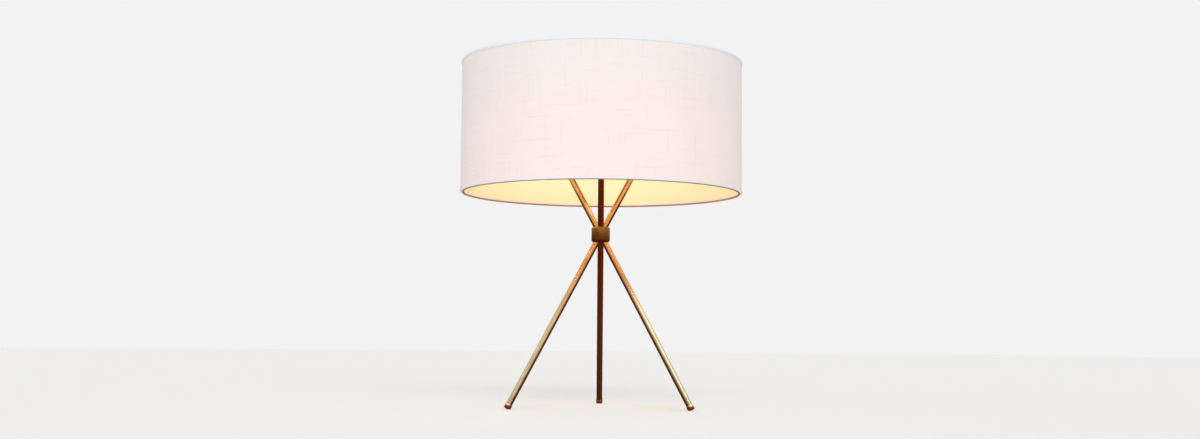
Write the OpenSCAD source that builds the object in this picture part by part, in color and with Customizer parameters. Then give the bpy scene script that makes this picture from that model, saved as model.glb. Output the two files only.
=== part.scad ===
// Tripod table lamp. Three straight lines of brass tube cross in a small hub. Below the hub they
// are the legs, one at the back and two in front, and above it they are the arms, which carry the
// socket bracket inside a wide drum shade. The shade hangs by its spider on a harp.
// The origin is on the floor under the hub, +Z is up and -Y is the front.

/* [Overall] */
// Height from the floor to the top edge of the shade
lamp_h = 533.4; // [525:0.1:560]
// Width over the two front feet
base_w = 286; // [270:0.1:310]

/* [Rods and hub] */
// Outer diameter of the brass tube
rod_d = 9.525; // [9:0.005:10]
// Wall of the brass tube
rod_wall = 1.2; // [1:0.05:1.4]
// Hub diameter
hub_d = 28.6; // [28:0.1:34]
// Hub height
hub_h = 22.2; // [21.6:0.1:25]
// Chamfer along the hub's top edge
hub_chamfer = 1.3; // [0.5:0.1:1.6]
// Radius of the hub's bottom edge
hub_round = 1.2; // [0.5:0.1:1.6]
// Wire bore that joins the back leg to the front arm inside the hub
hub_bore_d = 6.4; // [5.6:0.1:6.6]
// Space between neighbouring rod ends inside the hub
rod_gap = 0.3; // [0.2:0.05:0.6]
// Height from the hub's centre, where all the rods' axes meet, up to the socket bracket
arm_rise = 105.3; // [95:0.1:115]

/* [Feet] */
// Diameter of the metal ferrule on a leg's end
ferrule_d = 11; // [10.8:0.1:12]
// Height of the ferrule along the leg
ferrule_h = 3.4; // [2.5:0.1:6]
// Rounding of the ferrule's two rims
ferrule_round = 0.35; // [0.1:0.05:0.4]
// Diameter of the rubber pad
pad_d = 10.5; // [10.2:0.1:11]
// Thickness of the pad's head along the leg
pad_h = 3.2; // [2.8:0.1:5]
// Rounding of the pad's lower rim
pad_round = 0.8; // [0.2:0.1:1.2]
// Depth of the flat where the pad rests on the floor
pad_flat = 0.8; // [0.5:0.1:1]
// Length of the pad's plug inside the leg
pad_plug_l = 12; // [8:0.5:18]

/* [Cord inlet] */
// Height of the inlet above the floor
inlet_z = 34; // [28:0.5:60]
// Hole in the leg
inlet_hole_d = 6.2; // [6:0.1:6.4]
// Bore of the bushing
inlet_bore_d = 4.6; // [4.5:0.1:4.8]
// Diameter of the bushing's flange
inlet_flange_d = 8.6; // [8:0.1:9]
// Height of the flange above the leg's surface
inlet_flange_h = 1.8; // [1.2:0.1:2.5]

/* [Socket bracket] */
// Thickness of the bracket plate
bracket_t = 2; // [1.5:0.1:2.5]
// Width of the bracket's arms
bracket_w = 14; // [12:0.5:16]
// Diameter of the bracket's middle
bracket_d = 38; // [32:1:44]
// From a rod's axis to the bend of its tab
tab_bend = 6.5; // [6:0.1:8]
// Diameter of a tab's round end
tab_d = 16; // [15:0.5:18]
// Length of the threaded plug brazed into an arm's end
plug_l = 8; // [6:0.5:8.5]
// Shank diameter of a bracket screw
screw_d = 4; // [3.5:0.1:4.4]
// Head diameter of a bracket screw
screw_head_d = 7.6; // [7:0.1:8.5]
// Head height of a bracket screw
screw_head_h = 2.4; // [2:0.1:3]
// Length of a bracket screw under its head
screw_l = 9; // [6:0.5:9.5]
// Diameter of the flat top of a screw head
screw_top_d = 6.1; // [5:0.1:7]
// Width of the driver slot in a screw head
screw_slot_w = 1.1; // [0.8:0.1:1.4]

/* [Socket] */
// Outer diameter of the threaded nipple
nipple_d = 9.6; // [9:0.1:10]
// Bore of the nipple
nipple_bore_d = 6.8; // [6.4:0.1:7]
// How far the nipple stands out under its nut
nipple_tail = 1; // [0.8:0.1:1.5]
// Nut size across its flats
nut_af = 14; // [13:0.5:17]
// Nut height
nut_h = 3.2; // [2.5:0.1:4]
// Thickness of the toothed lock washer under the nut
washer_t = 0.8; // [0.5:0.1:1.2]
// Thread length of the nipple inside the socket cap's collar
nipple_grip = 7; // [5:0.5:8]
// Collar diameter of the socket cap
collar_d = 14; // [13:0.5:16]
// Collar height of the socket cap
collar_h = 7.6; // [7:0.1:9]
// Outer diameter of the socket cap's rim
cap_d = 35.4; // [35:0.1:38]
// Height of the socket cap's dome
cap_dome_h = 8; // [6:0.5:10]
// Height of the socket cap's rim
cap_rim_h = 6; // [5:0.5:9]
// Sheet thickness of the cap and the shell
socket_t = 0.8; // [0.6:0.1:1]
// Length of the socket shell
shell_h = 42; // [40:0.5:46]
// Thickness of the insulating sleeve
sleeve_t = 0.6; // [0.4:0.1:0.8]
// Diameter of the lamp-holder thread, as a plain cylinder
thread_d = 26.1; // [25.9:0.1:26.3]
// Wall of the screw shell
screw_shell_t = 0.5; // [0.4:0.1:0.6]
// Length of the screw shell
screw_shell_h = 23; // [20:0.5:25]
// Diameter of the switch body under the screw shell
switch_body_d = 20.8; // [19:0.1:22]
// Height of the switch body
switch_body_h = 14; // [12:0.5:16]
// Height of the flange that carries the screw shell
switch_flange_h = 5; // [4:0.5:7]
// Head diameter of a terminal screw
terminal_d = 5.4; // [4.5:0.1:6]
// Head height of a terminal screw
terminal_h = 1.8; // [1.2:0.1:2.2]
// Shank diameter of a terminal screw
terminal_shank_d = 2.7; // [2:0.1:3.2]
// Height of the centre contact that the bulb's tip presses on
contact_h = 2.2; // [1.5:0.1:2.6]
// Diameter of the centre contact's foot
contact_d = 8; // [6:0.5:10]
// Diameter of the centre contact's top
contact_top_d = 4; // [3:0.5:5]

/* [Switch knob] */
// Diameter of the knob's shaft
knob_shaft_d = 3.2; // [3:0.1:4]
// Diameter of the knob
knob_d = 9.5; // [8:0.1:12]
// Length of the knob
knob_l = 15; // [12:0.5:18]
// Thickness of the knob's flat grip
knob_grip_t = 4.2; // [3.5:0.1:6]
// Space between the socket shell and the knob
knob_gap = 7; // [5:0.5:10]
// Diameter of the knob's end nearest the shell
knob_neck_d = 6.4; // [5:0.1:7.5]
// Length of the knob's round skirt
knob_skirt_l = 3.8; // [3:0.1:5]
// Chamfer round the knob's outer end
knob_chamfer = 1.2; // [0.6:0.1:1.6]
// Distance from the socket's axis to the shaft's inner end
knob_shaft_in = 5.2; // [3:0.1:8]

/* [Bulb] */
// Largest diameter of the bulb's glass
bulb_d = 48; // [45:0.5:52]
// Length of the bulb from its tip to its top
bulb_l = 88; // [84:0.5:90]
// Neck diameter of the glass
bulb_neck_d = 24; // [23:0.1:24.2]
// Radius of the glass where the neck swells into the globe
bulb_flare = 30; // [24:1:36]
// Wall of the glass
bulb_wall = 0.8; // [0.6:0.1:1]
// Length of the bulb's screw base
bulb_base_l = 22; // [20:0.5:23]
// Height of the bulb base's tapered insulator
bulb_taper_h = 3.2; // [2.5:0.1:4]
// Diameter of the bulb's tip contact
bulb_tip_d = 9; // [7:0.5:11]
// Height of the bulb's tip contact
bulb_tip_h = 1.2; // [0.8:0.1:1.6]
// Diameter of the tip contact's end
bulb_tip_end_d = 5.4; // [4:0.1:6.5]
// Wall of the bulb's screw base
base_wall = 0.8; // [0.6:0.1:1]
// Length of glass held inside the screw base
bulb_seal_l = 7.4; // [6:0.1:10]
// Diameter of the glass stem where it flares to the neck
stem_flare_d = 8.4; // [7:0.1:10]
// Diameter of the stem's upper rod
stem_d = 4.2; // [3.5:0.1:5]
// Length of the stem's upper rod
stem_rod_l = 4.2; // [3.5:0.1:8]
// Distance from the globe's centre down to the stem's top
stem_drop = 8; // [6:0.5:12]
// Wire diameter of the filament and its supports
filament_d = 1; // [0.6:0.1:1.2]
// Half width of the filament's bow
filament_x = 8; // [6:0.5:10]
// Height of the filament's top above the globe's centre
filament_rise = 8; // [6:0.5:10]
// Bend radius at the filament's upper corners
filament_corner = 7; // [5:0.5:7]
// Bend radius of the filament's supports
filament_bend = 4; // [3:0.5:5]

/* [Harp] */
// Space between the bulb's top and the seat on the harp's crown
bulb_room = 4; // [3:0.5:12]
// Wire diameter of the harp
harp_wire_d = 4; // [3.5:0.1:4.5]
// Half distance between the harp's feet
harp_foot_x = 27; // [26:0.5:30]
// Half width of the harp's bow, at the wire's middle
harp_bow_x = 45; // [42:0.5:55]
// Radius of the two upper corners of the bow
harp_corner = 30; // [20:1:36]
// Radius of the two bends above each foot
harp_bend = 14; // [10:1:16]
// Height over which the bow widens
harp_flare_h = 24; // [20:1:30]
// Thickness of the saddle strip
saddle_t = 1.6; // [1.2:0.1:2]
// Width of the saddle strip
saddle_w = 12; // [10:0.5:14]
// Height of the saddle's posts above the saddle
post_h = 18; // [15:0.5:20]
// Length of a locking sleeve
lock_l = 16; // [12:0.5:18]
// Outer diameter of a locking sleeve
lock_d = 7; // [6.5:0.1:8]
// Distance that a locking sleeve slides up
lock_travel = 11; // [8:0.5:12]
// Diameter of the harp's threaded stud
stud_d = 6.35; // [6:0.05:6.6]
// Length of the stud above the spider's washer
stud_l = 14; // [10:0.5:15]
// Diameter of the seat under the spider
seat_d = 16; // [14:0.5:20]
// Height of the seat round the harp's crown
seat_h = 5.6; // [5:0.1:8]

/* [Shade] */
// Outside diameter of the shade, over its trims
shade_d = 438.15; // [400:0.05:460]
// Height of the shade
shade_h = 203.2; // [195:0.1:215]
// Thickness of the linen
linen_t = 1; // [0.8:0.1:1.2]
// Thickness of the stiff liner behind the linen
liner_t = 0.8; // [0.6:0.1:1]
// Thickness of the folded trim
trim_t = 0.7; // [0.5:0.1:0.9]
// Height of the trim's outer leg
trim_h = 6.4; // [5:0.1:9]
// Wire diameter of the shade's rings
ring_wire_d = 2.8; // [2.4:0.1:3.2]
// Wire diameter of the spider's spokes
spoke_wire_d = 3; // [2.6:0.1:3.4]
// Distance from the top of the shade down to the spider's seat
spider_drop = 27.4; // [24:0.1:32]
// Distance from the ring at which a spoke turns up to it
spoke_rise_x = 18; // [12:0.5:30]
// Radius of the spokes' bends
spoke_bend = 8; // [5:0.5:12]
// Diameter of the spider's washer
spider_washer_d = 30; // [26:1:36]
// Thickness of the spider's washer
spider_washer_t = 3.4; // [3:0.1:4]

/* [Finial] */
// Diameter of the finial's head
finial_d = 15; // [12:0.5:18]
// Diameter of the finial's foot
finial_foot_d = 13; // [11:0.5:15]
// Height of the finial's foot
finial_foot_h = 3; // [2:0.1:4]
// Diameter of the finial's waist
finial_waist_d = 8.4; // [8:0.1:10]
// Height of the finial
finial_h = 20; // [18:0.5:22]

/* [Fits] */
// Clearance on the radius between a piece and the bore it is seated in
seat_fit = 0.05; // [0.03:0.01:0.08]
// Clearance on the radius of a pair that turns or slides
run_fit = 0.06; // [0.04:0.01:0.09]
// Space between faces of two bodies that must not rub
free_gap = 0.4; // [0.3:0.05:0.6]

/* [Wires] */
// Diameter of an insulated lead
lead_d = 2; // [1.8:0.1:2.1]
// Space between the two leads
lead_gap = 0.3; // [0.2:0.05:0.4]
// Bend radius of the leads inside the leg and the arm
lead_bend = 4; // [3.5:0.1:4.2]
// Bend radius of the leads under the nipple
lead_turn = 6; // [5:0.5:6.5]
// Depth of the run of the leads under the nipple's end
lead_drop = 6.8; // [6.5:0.1:8]
// Space round the pair of leads where they pass out of the arm
lead_room = 0.65; // [0.5:0.05:0.8]
// Distance along the leg from the inlet's middle to the leads' ends
lead_stop = 6; // [5:0.5:12]

/* [Hidden] */
$fn = 96;
hair = 0.01;
reach = 2000;
wire_lap = 0.1;
seam_turn = 45;
wire_step = 0.02;
quarter_turn = 90;
half_turn = 180;
full_turn = 360;

// Where each rod stands, seen from above. Its arm stands opposite.
leg_names = ["leg_back", "leg_left", "leg_right"];
leg_turns = [90, 210, 330];
arm_names = ["arm_front", "arm_right", "arm_left"];

// The stack from the bracket's underside up to the bulb's tip and to the seat that the spider sits
// on, which hangs under the shade's top. The hub follows below the bracket.
bulb_rise = bracket_t + saddle_t + collar_h + cap_dome_h / 2 + switch_body_h + switch_flange_h
    + contact_h;
harp_reach = bulb_rise + bulb_l + bulb_room + seat_h;
seat_z = lamp_h - spider_drop;
bracket_z = seat_z - harp_reach;
hub_z = bracket_z - arm_rise;

// The front legs' axes meet the floor half a pad inside the base's width.
foot_r = (base_w - pad_d) / 2 / cos(leg_turns[2]);
lean = atan(foot_r / hub_z);
rod_r = rod_d / 2;
rod_bore_r = rod_r - rod_wall;
// Two neighbouring axes open by this angle, and the rods would touch where their walls meet.
rod_spread = acos(pow(cos(lean), 2) + pow(sin(lean), 2) * cos(leg_turns[1] - leg_turns[0]));
rod_seat = rod_r / tan(rod_spread / 2) + rod_gap;

// The pad's middle stands this high, so that its rounded lower rim is cut flat by pad_flat.
pad_end_z = pad_d / 2 * sin(lean) - pad_round * (sin(lean) + cos(lean) - 1) - pad_flat;
pad_end = (hub_z - pad_end_z) / cos(lean);
leg_end = pad_end - pad_h;
inlet_s = (hub_z - inlet_z) / cos(lean);

// The arms end under the bracket's tabs, which bend down square to them.
arm_end_z = bracket_z - tab_bend * sin(lean);
arm_end = (arm_end_z - hub_z) / cos(lean);
arm_end_r = arm_end * sin(lean);
bend_r = arm_end_r - tab_bend * cos(lean);
arm_turns = [for (t = leg_turns) t + half_turn];

// The stack on the bracket's plate, from the bottom up.
bracket_top = bracket_z + bracket_t;
nut_z = bracket_z - washer_t - nut_h;
nipple_z = nut_z - nipple_tail;
cap_z = bracket_top + saddle_t;
nipple_top = cap_z + nipple_grip;
dome_z = cap_z + collar_h;
rim_z = dome_z + cap_dome_h;
shell_r = cap_d / 2 - socket_t - seat_fit;
shell_z = rim_z;
shell_top = shell_z + shell_h;
insulator_r = shell_r - socket_t - seat_fit;
insulator_z = shell_z + socket_t;
body_r = insulator_r - sleeve_t - seat_fit;
switch_z = dome_z + cap_dome_h / 2;
flange_z = switch_z + switch_body_h;
screw_shell_z = flange_z + switch_flange_h;
screw_shell_r = thread_d / 2 + run_fit + screw_shell_t;
shaft_z = rim_z + (cap_rim_h + knob_d) / 2 + free_gap;

// The bulb stands on its contact.
bulb_z = bracket_z + bulb_rise;
base_z = bulb_z + bulb_tip_h + bulb_taper_h;
base_top = base_z + bulb_base_l;
glass_z = base_top - bulb_seal_l;
glass_top = bulb_z + bulb_l;
globe_r = bulb_d / 2;
globe_z = glass_top - globe_r;
neck_r = bulb_neck_d / 2;
flare_x = neck_r + bulb_flare;
flare_drop = sqrt(pow(globe_r + bulb_flare, 2) - pow(flare_x, 2));
flare_z = globe_z - flare_drop;
flare_steps = 8;
globe_steps = 28;
stem_top = globe_z - stem_drop;

// The harp's feet stand on the saddle's posts, and its seat carries the spider.
post_z = cap_z + post_h;
lock_z = post_z - lock_l / 2;
harp_lean = atan((harp_bow_x - harp_foot_x) / harp_flare_h);
harp_straight = lock_z + lock_l + lock_travel + harp_bend * tan(harp_lean / 2);
harp_bow_z = harp_straight + harp_flare_h;
harp_top_z = seat_z - seat_h / 2;
stud_top = seat_z + spider_washer_t + stud_l;

// The shade's layers, from the outside in.
shade_r = shade_d / 2;
shade_z = lamp_h - shade_h;
linen_r = shade_r - trim_t;
liner_r = linen_r - linen_t;
ring_r = liner_r - liner_t - seat_fit - ring_wire_d / 2;
trim_in_r = ring_r - ring_wire_d / 2 - seat_fit - trim_t;
ring_low_z = shade_z + trim_t + seat_fit + ring_wire_d / 2;
ring_high_z = lamp_h - trim_t - seat_fit - ring_wire_d / 2;
spoke_z = seat_z + spider_washer_t / 2;
spoke_turns = [30, 150, 270];
spoke_start = spider_washer_d / 2 - spoke_wire_d;

// The leads run in one plane, side by side, from the inlet to the switch.
lead_x = (lead_d + lead_gap) / 2;
lead_run_z = nipple_z - lead_drop;
lead_corner = (lead_run_z - hub_z) / cos(lean);
lead_hole_s = lead_corner - lead_bend * tan((90 + lean) / 2) + lead_bend;
lead_hole_d = 2 * (lead_d + lead_room) + lead_gap;
lead_end_s = inlet_s - lead_stop;

// Stands children on a rod's axis, with +Z away from the hub's centre and -X on its upper side.
module on_leg(turn) {
    translate([0, 0, hub_z]) rotate([0, half_turn - lean, turn]) children();
}
module on_arm(turn) {
    translate([0, 0, hub_z]) rotate([0, lean, turn]) children();
}

// A straight tube from one distance along the axis to another.
module tube(from, to, r_out, r_in) {
    translate([0, 0, from]) difference() {
        cylinder(r = r_out, h = to - from);
        translate([0, 0, -hair]) cylinder(r = r_in, h = to - from + 2 * hair);
    }
}

function heading(points, i) =
    atan2(points[i + 1][1] - points[i][1], points[i + 1][0] - points[i][0]);
function turn_at(points, i) =
    let (t = heading(points, i) - heading(points, i - 1))
    t > half_turn ? t - full_turn : t < -half_turn ? t + full_turn : t;
function trim_at(points, bends, i) =
    i == 0 || i == len(points) - 1 ? 0 : bends[i - 1] * tan(abs(turn_at(points, i)) / 2);

// A round wire through points of the XY plane, with a bend of its own radius at each corner. The
// straights lap over the bends, which are drawn a little thinner.
module bent_wire(points, bends, d) {
    for (i = [0 : len(points) - 2]) {
        length = norm(points[i + 1] - points[i]);
        start = trim_at(points, bends, i) - (i > 0 ? wire_lap : 0);
        end = trim_at(points, bends, i + 1) - (i < len(points) - 2 ? wire_lap : 0);
        translate(points[i]) rotate([0, 90, heading(points, i)]) translate([0, 0, start])
            cylinder(d = d, h = length - start - end);
    }
    for (i = [1 : len(points) - 2]) {
        h = heading(points, i - 1);
        t = turn_at(points, i);
        side = sign(t);
        at = points[i] - trim_at(points, bends, i) * [cos(h), sin(h)]
            + side * bends[i - 1] * [-sin(h), cos(h)];
        translate(at) rotate(side > 0 ? h - 90 : h + 90 + t) rotate_extrude(angle = abs(t))
            translate([bends[i - 1], 0]) circle(d = d - 2 * wire_step);
    }
}

// Lays the XY plane upright: X stays and Y becomes Z, or X becomes Y and Y becomes Z.
module upright_xz() {
    rotate([90, 0, 0]) children();
}
module upright_yz() {
    rotate([90, 0, 90]) children();
}

module hub() {
    color("saddlebrown") difference() {
        translate([0, 0, hub_z - hub_h / 2]) rotate_extrude() hub_profile();
        for (i = [0 : len(leg_turns) - 1]) {
            on_leg(leg_turns[i]) rod_socket();
            on_arm(arm_turns[i]) rod_socket();
        }
        on_leg(leg_turns[0]) translate([0, 0, -rod_seat - hair])
            cylinder(d = hub_bore_d, h = 2 * (rod_seat + hair));
    }
}
module rod_socket() {
    translate([0, 0, rod_seat]) rotate(seam_turn) cylinder(r = rod_r + seat_fit, h = hub_h);
}
module hub_profile() {
    r = hub_d / 2;
    union() {
        polygon([
            [0, 0], [r - hub_round, 0], [r - hub_round, hub_round], [r, hub_round],
            [r, hub_h - hub_chamfer], [r - hub_chamfer, hub_h], [0, hub_h]
        ]);
        intersection() {
            translate([r - hub_round, hub_round]) circle(r = hub_round);
            translate([r - hub_round, 0]) square(hub_round);
        }
    }
}

module leg(turn, has_inlet = false) {
    color("goldenrod") on_leg(turn) difference() {
        tube(rod_seat, leg_end, rod_r, rod_bore_r);
        if (has_inlet)
            translate([0, 0, inlet_s]) rotate([0, -90, 0]) cylinder(d = inlet_hole_d, h = rod_d);
    }
}

module arm(turn, has_lead_hole = false) {
    color("goldenrod") on_arm(turn) difference() {
        tube(rod_seat, arm_end, rod_r, rod_bore_r);
        if (has_lead_hole)
            translate([0, 0, lead_hole_s]) rotate([0, -90, 0]) cylinder(d = lead_hole_d, h = rod_d);
    }
}

// A band on the leg's end, with both rims rounded.
module foot_ferrule(turn) {
    r = ferrule_d / 2;
    inner = rod_r + seat_fit;
    color("peru") on_leg(turn) translate([0, 0, leg_end - ferrule_h]) rotate_extrude() union() {
        translate([inner, 0]) square([r - ferrule_round - inner, ferrule_h]);
        translate([inner, ferrule_round]) square([r - inner, ferrule_h - 2 * ferrule_round]);
        for (y = [ferrule_round, ferrule_h - ferrule_round])
            translate([r - ferrule_round, y]) circle(r = ferrule_round);
    }
}

// A rubber plug whose head the leg and the ferrule stand on, cut flat along the floor.
module foot_pad(turn) {
    r = pad_d / 2;
    color("maroon") difference() {
        on_leg(turn) rotate_extrude() union() {
            translate([0, leg_end - pad_plug_l]) square([rod_bore_r - seat_fit, pad_plug_l + hair]);
            translate([0, leg_end]) square([r - pad_round, pad_h]);
            translate([0, leg_end]) square([r, pad_h - pad_round]);
            translate([r - pad_round, pad_end - pad_round]) circle(r = pad_round);
        }
        translate([-reach / 2, -reach / 2, -reach]) cube(reach);
    }
}

module arm_plug(turn) {
    color("darkgoldenrod") on_arm(turn)
        tube(arm_end - plug_l, arm_end, rod_bore_r - seat_fit, screw_d / 2 + seat_fit);
}

// The bushing's flange hugs the leg, and its neck lines the hole in the leg's wall.
module inlet_bushing() {
    color("black") on_leg(leg_turns[0]) translate([0, 0, inlet_s]) difference() {
        rotate([0, -90, 0]) union() {
            translate([0, 0, rod_bore_r]) cylinder(d = inlet_hole_d - 2 * seat_fit, h = rod_wall);
            difference() {
                cylinder(d = inlet_flange_d, h = rod_r + inlet_flange_h);
                rotate([0, 90, 0]) cylinder(r = rod_r + seat_fit, h = rod_d * 2, center = true);
            }
            translate([0, 0, rod_r]) cylinder(d = inlet_hole_d - 2 * seat_fit, h = inlet_flange_h / 2);
        }
        rotate([0, -90, 0]) cylinder(d = inlet_bore_d, h = rod_d * 2);
    }
}

// From just over the inlet up the back leg, through the hub, up the front arm, out of its upper
// side, along under the bracket and up through the nipple to the switch.
lead_points = [
    [lead_end_s * sin(lean), hub_z - lead_end_s * cos(lean)],
    [-lead_corner * sin(lean), lead_run_z],
    [0, lead_run_z],
    [0, switch_z]
];
lead_bends = [lead_bend, lead_turn];

module lead(side) {
    translate([side * lead_x, 0, 0]) upright_yz() bent_wire(lead_points, lead_bends, lead_d);
}
module lead_live() {
    color("dimgray") lead(-1);
}
module lead_neutral() {
    color("silver") lead(1);
}

// Three strips that run out from a round middle and bend down square to the arms.
module socket_bracket() {
    end = [arm_end_r, arm_end_z];
    up = [sin(lean), cos(lean)];
    color("gold") difference() {
        union() {
            translate([0, 0, bracket_z]) cylinder(d = bracket_d, h = bracket_t);
            for (turn = arm_turns) {
                rotate(turn) upright_xz() linear_extrude(bracket_w, center = true) polygon([
                    [0, bracket_z], [bend_r, bracket_z], end, end + bracket_t * up,
                    [bend_r + bracket_t * tan(lean / 2), bracket_top], [0, bracket_top]
                ]);
                on_arm(turn) translate([0, 0, arm_end]) cylinder(d = tab_d, h = bracket_t);
            }
        }
        translate([0, 0, bracket_z - hair])
            cylinder(r = nipple_d / 2 + seat_fit, h = bracket_t + 2 * hair);
        for (turn = arm_turns)
            on_arm(turn) translate([0, 0, arm_end - hair])
                cylinder(r = screw_d / 2 + seat_fit, h = bracket_t + 2 * hair);
    }
}

module bracket_screws() {
    color("darkgoldenrod") for (turn = arm_turns)
        on_arm(turn) translate([0, 0, arm_end + bracket_t]) difference() {
            union() {
                translate([0, 0, -screw_l]) cylinder(d = screw_d, h = screw_l);
                cylinder(d1 = screw_head_d, d2 = screw_top_d, h = screw_head_h);
            }
            translate([-screw_head_d / 2, -screw_slot_w / 2, screw_head_h / 2])
                cube([screw_head_d, screw_slot_w, screw_head_h]);
        }
}

module nipple() {
    color("khaki") tube(nipple_z, nipple_top, nipple_d / 2, nipple_bore_d / 2);
}
module lock_washer() {
    color("silver") tube(bracket_z - washer_t, bracket_z, nut_af / 2 + washer_t, nipple_d / 2 + seat_fit);
}
module nipple_nut() {
    color("gold") difference() {
        translate([0, 0, nut_z]) cylinder(d = nut_af / cos(30), h = nut_h, $fn = 6);
        translate([0, 0, nut_z - hair]) cylinder(r = nipple_d / 2 + seat_fit, h = nut_h + 2 * hair);
    }
}

// A spun cap: a collar on the nipple, a dome and a rim that holds the shell.
module socket_cap() {
    color("gold") rotate_extrude() polygon([
        [nipple_d / 2 + seat_fit, cap_z], [collar_d / 2, cap_z], [collar_d / 2, dome_z],
        [cap_d / 2 - socket_t, rim_z - socket_t], [cap_d / 2, rim_z],
        [cap_d / 2, rim_z + cap_rim_h], [cap_d / 2 - socket_t, rim_z + cap_rim_h],
        [cap_d / 2 - socket_t, rim_z], [collar_d / 2 - socket_t, dome_z + socket_t],
        [nipple_d / 2 + seat_fit, dome_z + socket_t]
    ]);
}
module knob_hole(d) {
    translate([0, 0, shaft_z]) rotate([90, 0, 0]) cylinder(d = d, h = cap_d);
}
module socket_shell() {
    color("gold") difference() {
        tube(shell_z, shell_top, shell_r, shell_r - socket_t);
        knob_hole(knob_shaft_d + 2 * free_gap);
    }
}
module insulating_sleeve() {
    color("tan") difference() {
        tube(insulator_z, shell_top - socket_t, insulator_r, insulator_r - sleeve_t);
        knob_hole(knob_shaft_d + 2 * free_gap);
    }
}
module switch_body() {
    color("black") difference() {
        union() {
            translate([0, 0, switch_z]) cylinder(d = switch_body_d, h = switch_body_h + hair);
            translate([0, 0, flange_z]) cylinder(r = body_r, h = switch_flange_h);
        }
        knob_hole(knob_shaft_d + 2 * run_fit);
        for (side = [-1, 1]) terminal_screw(side, seat_fit);
    }
}
module terminal_screw(side, grow) {
    translate([side * (switch_body_d / 2 - terminal_h), 0, shaft_z]) rotate([0, side * 90, 0]) {
        translate([0, 0, -terminal_h]) cylinder(r = terminal_shank_d / 2 + grow, h = terminal_h + hair);
        translate([0, 0, -grow]) cylinder(r = terminal_d / 2 + grow, h = terminal_h + grow);
    }
}
module terminal_screws() {
    color("silver") for (side = [-1, 1]) terminal_screw(side, 0);
}
module screw_shell() {
    color("gold") tube(screw_shell_z, screw_shell_z + screw_shell_h, screw_shell_r, thread_d / 2 + run_fit);
}
module centre_contact() {
    color("gold") translate([0, 0, screw_shell_z])
        cylinder(d1 = contact_d, d2 = contact_top_d, h = contact_h);
}

// A turn knob: its shaft runs in the switch, and its grip has two flats.
module switch_knob() {
    front = shell_r + knob_gap;
    color("black") translate([0, 0, shaft_z]) rotate([90, 0, 0]) union() {
        translate([0, 0, knob_shaft_in]) cylinder(d = knob_shaft_d, h = front + hair - knob_shaft_in);
        translate([0, 0, front]) intersection() {
            rotate_extrude() polygon([
                [0, 0], [knob_neck_d / 2, 0], [knob_d / 2, knob_skirt_l],
                [knob_d / 2, knob_l - knob_chamfer], [knob_d / 2 - knob_chamfer, knob_l], [0, knob_l]
            ]);
            union() {
                translate([-knob_d, -knob_d, 0]) cube([2 * knob_d, 2 * knob_d, knob_skirt_l]);
                translate([-knob_d, -knob_grip_t / 2, 0]) cube([2 * knob_d, knob_grip_t, 2 * knob_l]);
            }
        }
    }
}

// The bulb's outline, drawn in by a wall thickness: a neck, a flare and a globe that meet tangent.
function arc(centre, r, from, to, steps) = [
    for (i = [0 : steps]) let (a = from + (to - from) * i / steps) centre + r * [cos(a), sin(a)]
];
function bulb_outline(inset) =
    let (meet = atan2(flare_drop, -flare_x))
    concat(
        [[neck_r - inset, glass_z]],
        arc([flare_x, flare_z], bulb_flare + inset, half_turn, meet, flare_steps),
        arc(
            [0, globe_z], globe_r - inset, meet - half_turn + half_turn / globe_steps,
            quarter_turn, globe_steps
        )
    );
module bulb_glass() {
    inner = bulb_outline(bulb_wall);
    color("white", 0.8) rotate_extrude()
        polygon(concat(bulb_outline(0), [for (i = [len(inner) - 1 : -1 : 0]) inner[i]]));
}
module bulb_stem() {
    color("lightcyan") rotate_extrude() polygon([
        [0, glass_z], [neck_r - bulb_wall - seat_fit, glass_z],
        [neck_r - bulb_wall - seat_fit, glass_z + bulb_wall], [stem_flare_d / 2, flare_z],
        [stem_d / 2, stem_top - stem_rod_l], [stem_d / 2, stem_top], [0, stem_top]
    ]);
}
// Two supports that rise from the stem, with the filament bowed between them.
module bulb_filament() {
    low = stem_top - stem_rod_l / 2;
    start = (stem_d + filament_d) / 2 + seat_fit;
    half = [
        [start, low], [filament_x, low + filament_x - start], [filament_x, globe_z + filament_rise]
    ];
    bends = [filament_bend, filament_corner];
    color("orange") upright_xz() bent_wire(
        concat([for (p = half) [-p[0], p[1]]], [for (i = [2 : -1 : 0]) half[i]]),
        concat(bends, [for (i = [1 : -1 : 0]) bends[i]]), filament_d
    );
}
module bulb_base() {
    color("silver") rotate_extrude() polygon([
        [bulb_tip_d / 2 + base_wall, base_z], [thread_d / 2 - base_wall, base_z],
        [thread_d / 2, base_z + base_wall], [thread_d / 2, base_top],
        [neck_r + seat_fit, base_top], [neck_r + seat_fit, base_z + base_wall],
        [bulb_tip_d / 2 + base_wall, base_z + base_wall]
    ]);
}
module bulb_insulator() {
    color("black") rotate_extrude() polygon([
        [0, bulb_z + bulb_tip_h], [bulb_tip_d / 2 + base_wall, bulb_z + bulb_tip_h],
        [thread_d / 2 - base_wall, base_z], [0, base_z]
    ]);
}
module bulb_tip() {
    color("silver") translate([0, 0, bulb_z])
        cylinder(d1 = bulb_tip_end_d, d2 = bulb_tip_d, h = bulb_tip_h);
}

// A bent strip under the socket, with a round post at each end for the harp's feet.
module harp_saddle() {
    color("gold") difference() {
        union() {
            translate([-harp_foot_x, -saddle_w / 2, bracket_top])
                cube([2 * harp_foot_x, saddle_w, saddle_t]);
            for (x = [-harp_foot_x, harp_foot_x]) {
                translate([x, 0, bracket_top]) cylinder(d = saddle_w, h = saddle_t);
                translate([x, 0, bracket_top]) cylinder(d = lock_d, h = lock_z - bracket_top);
                translate([x, 0, bracket_top]) cylinder(d = harp_wire_d, h = post_z - bracket_top);
            }
        }
        translate([0, 0, bracket_top - hair])
            cylinder(r = nipple_d / 2 + seat_fit, h = saddle_t + 2 * hair);
    }
}

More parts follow.
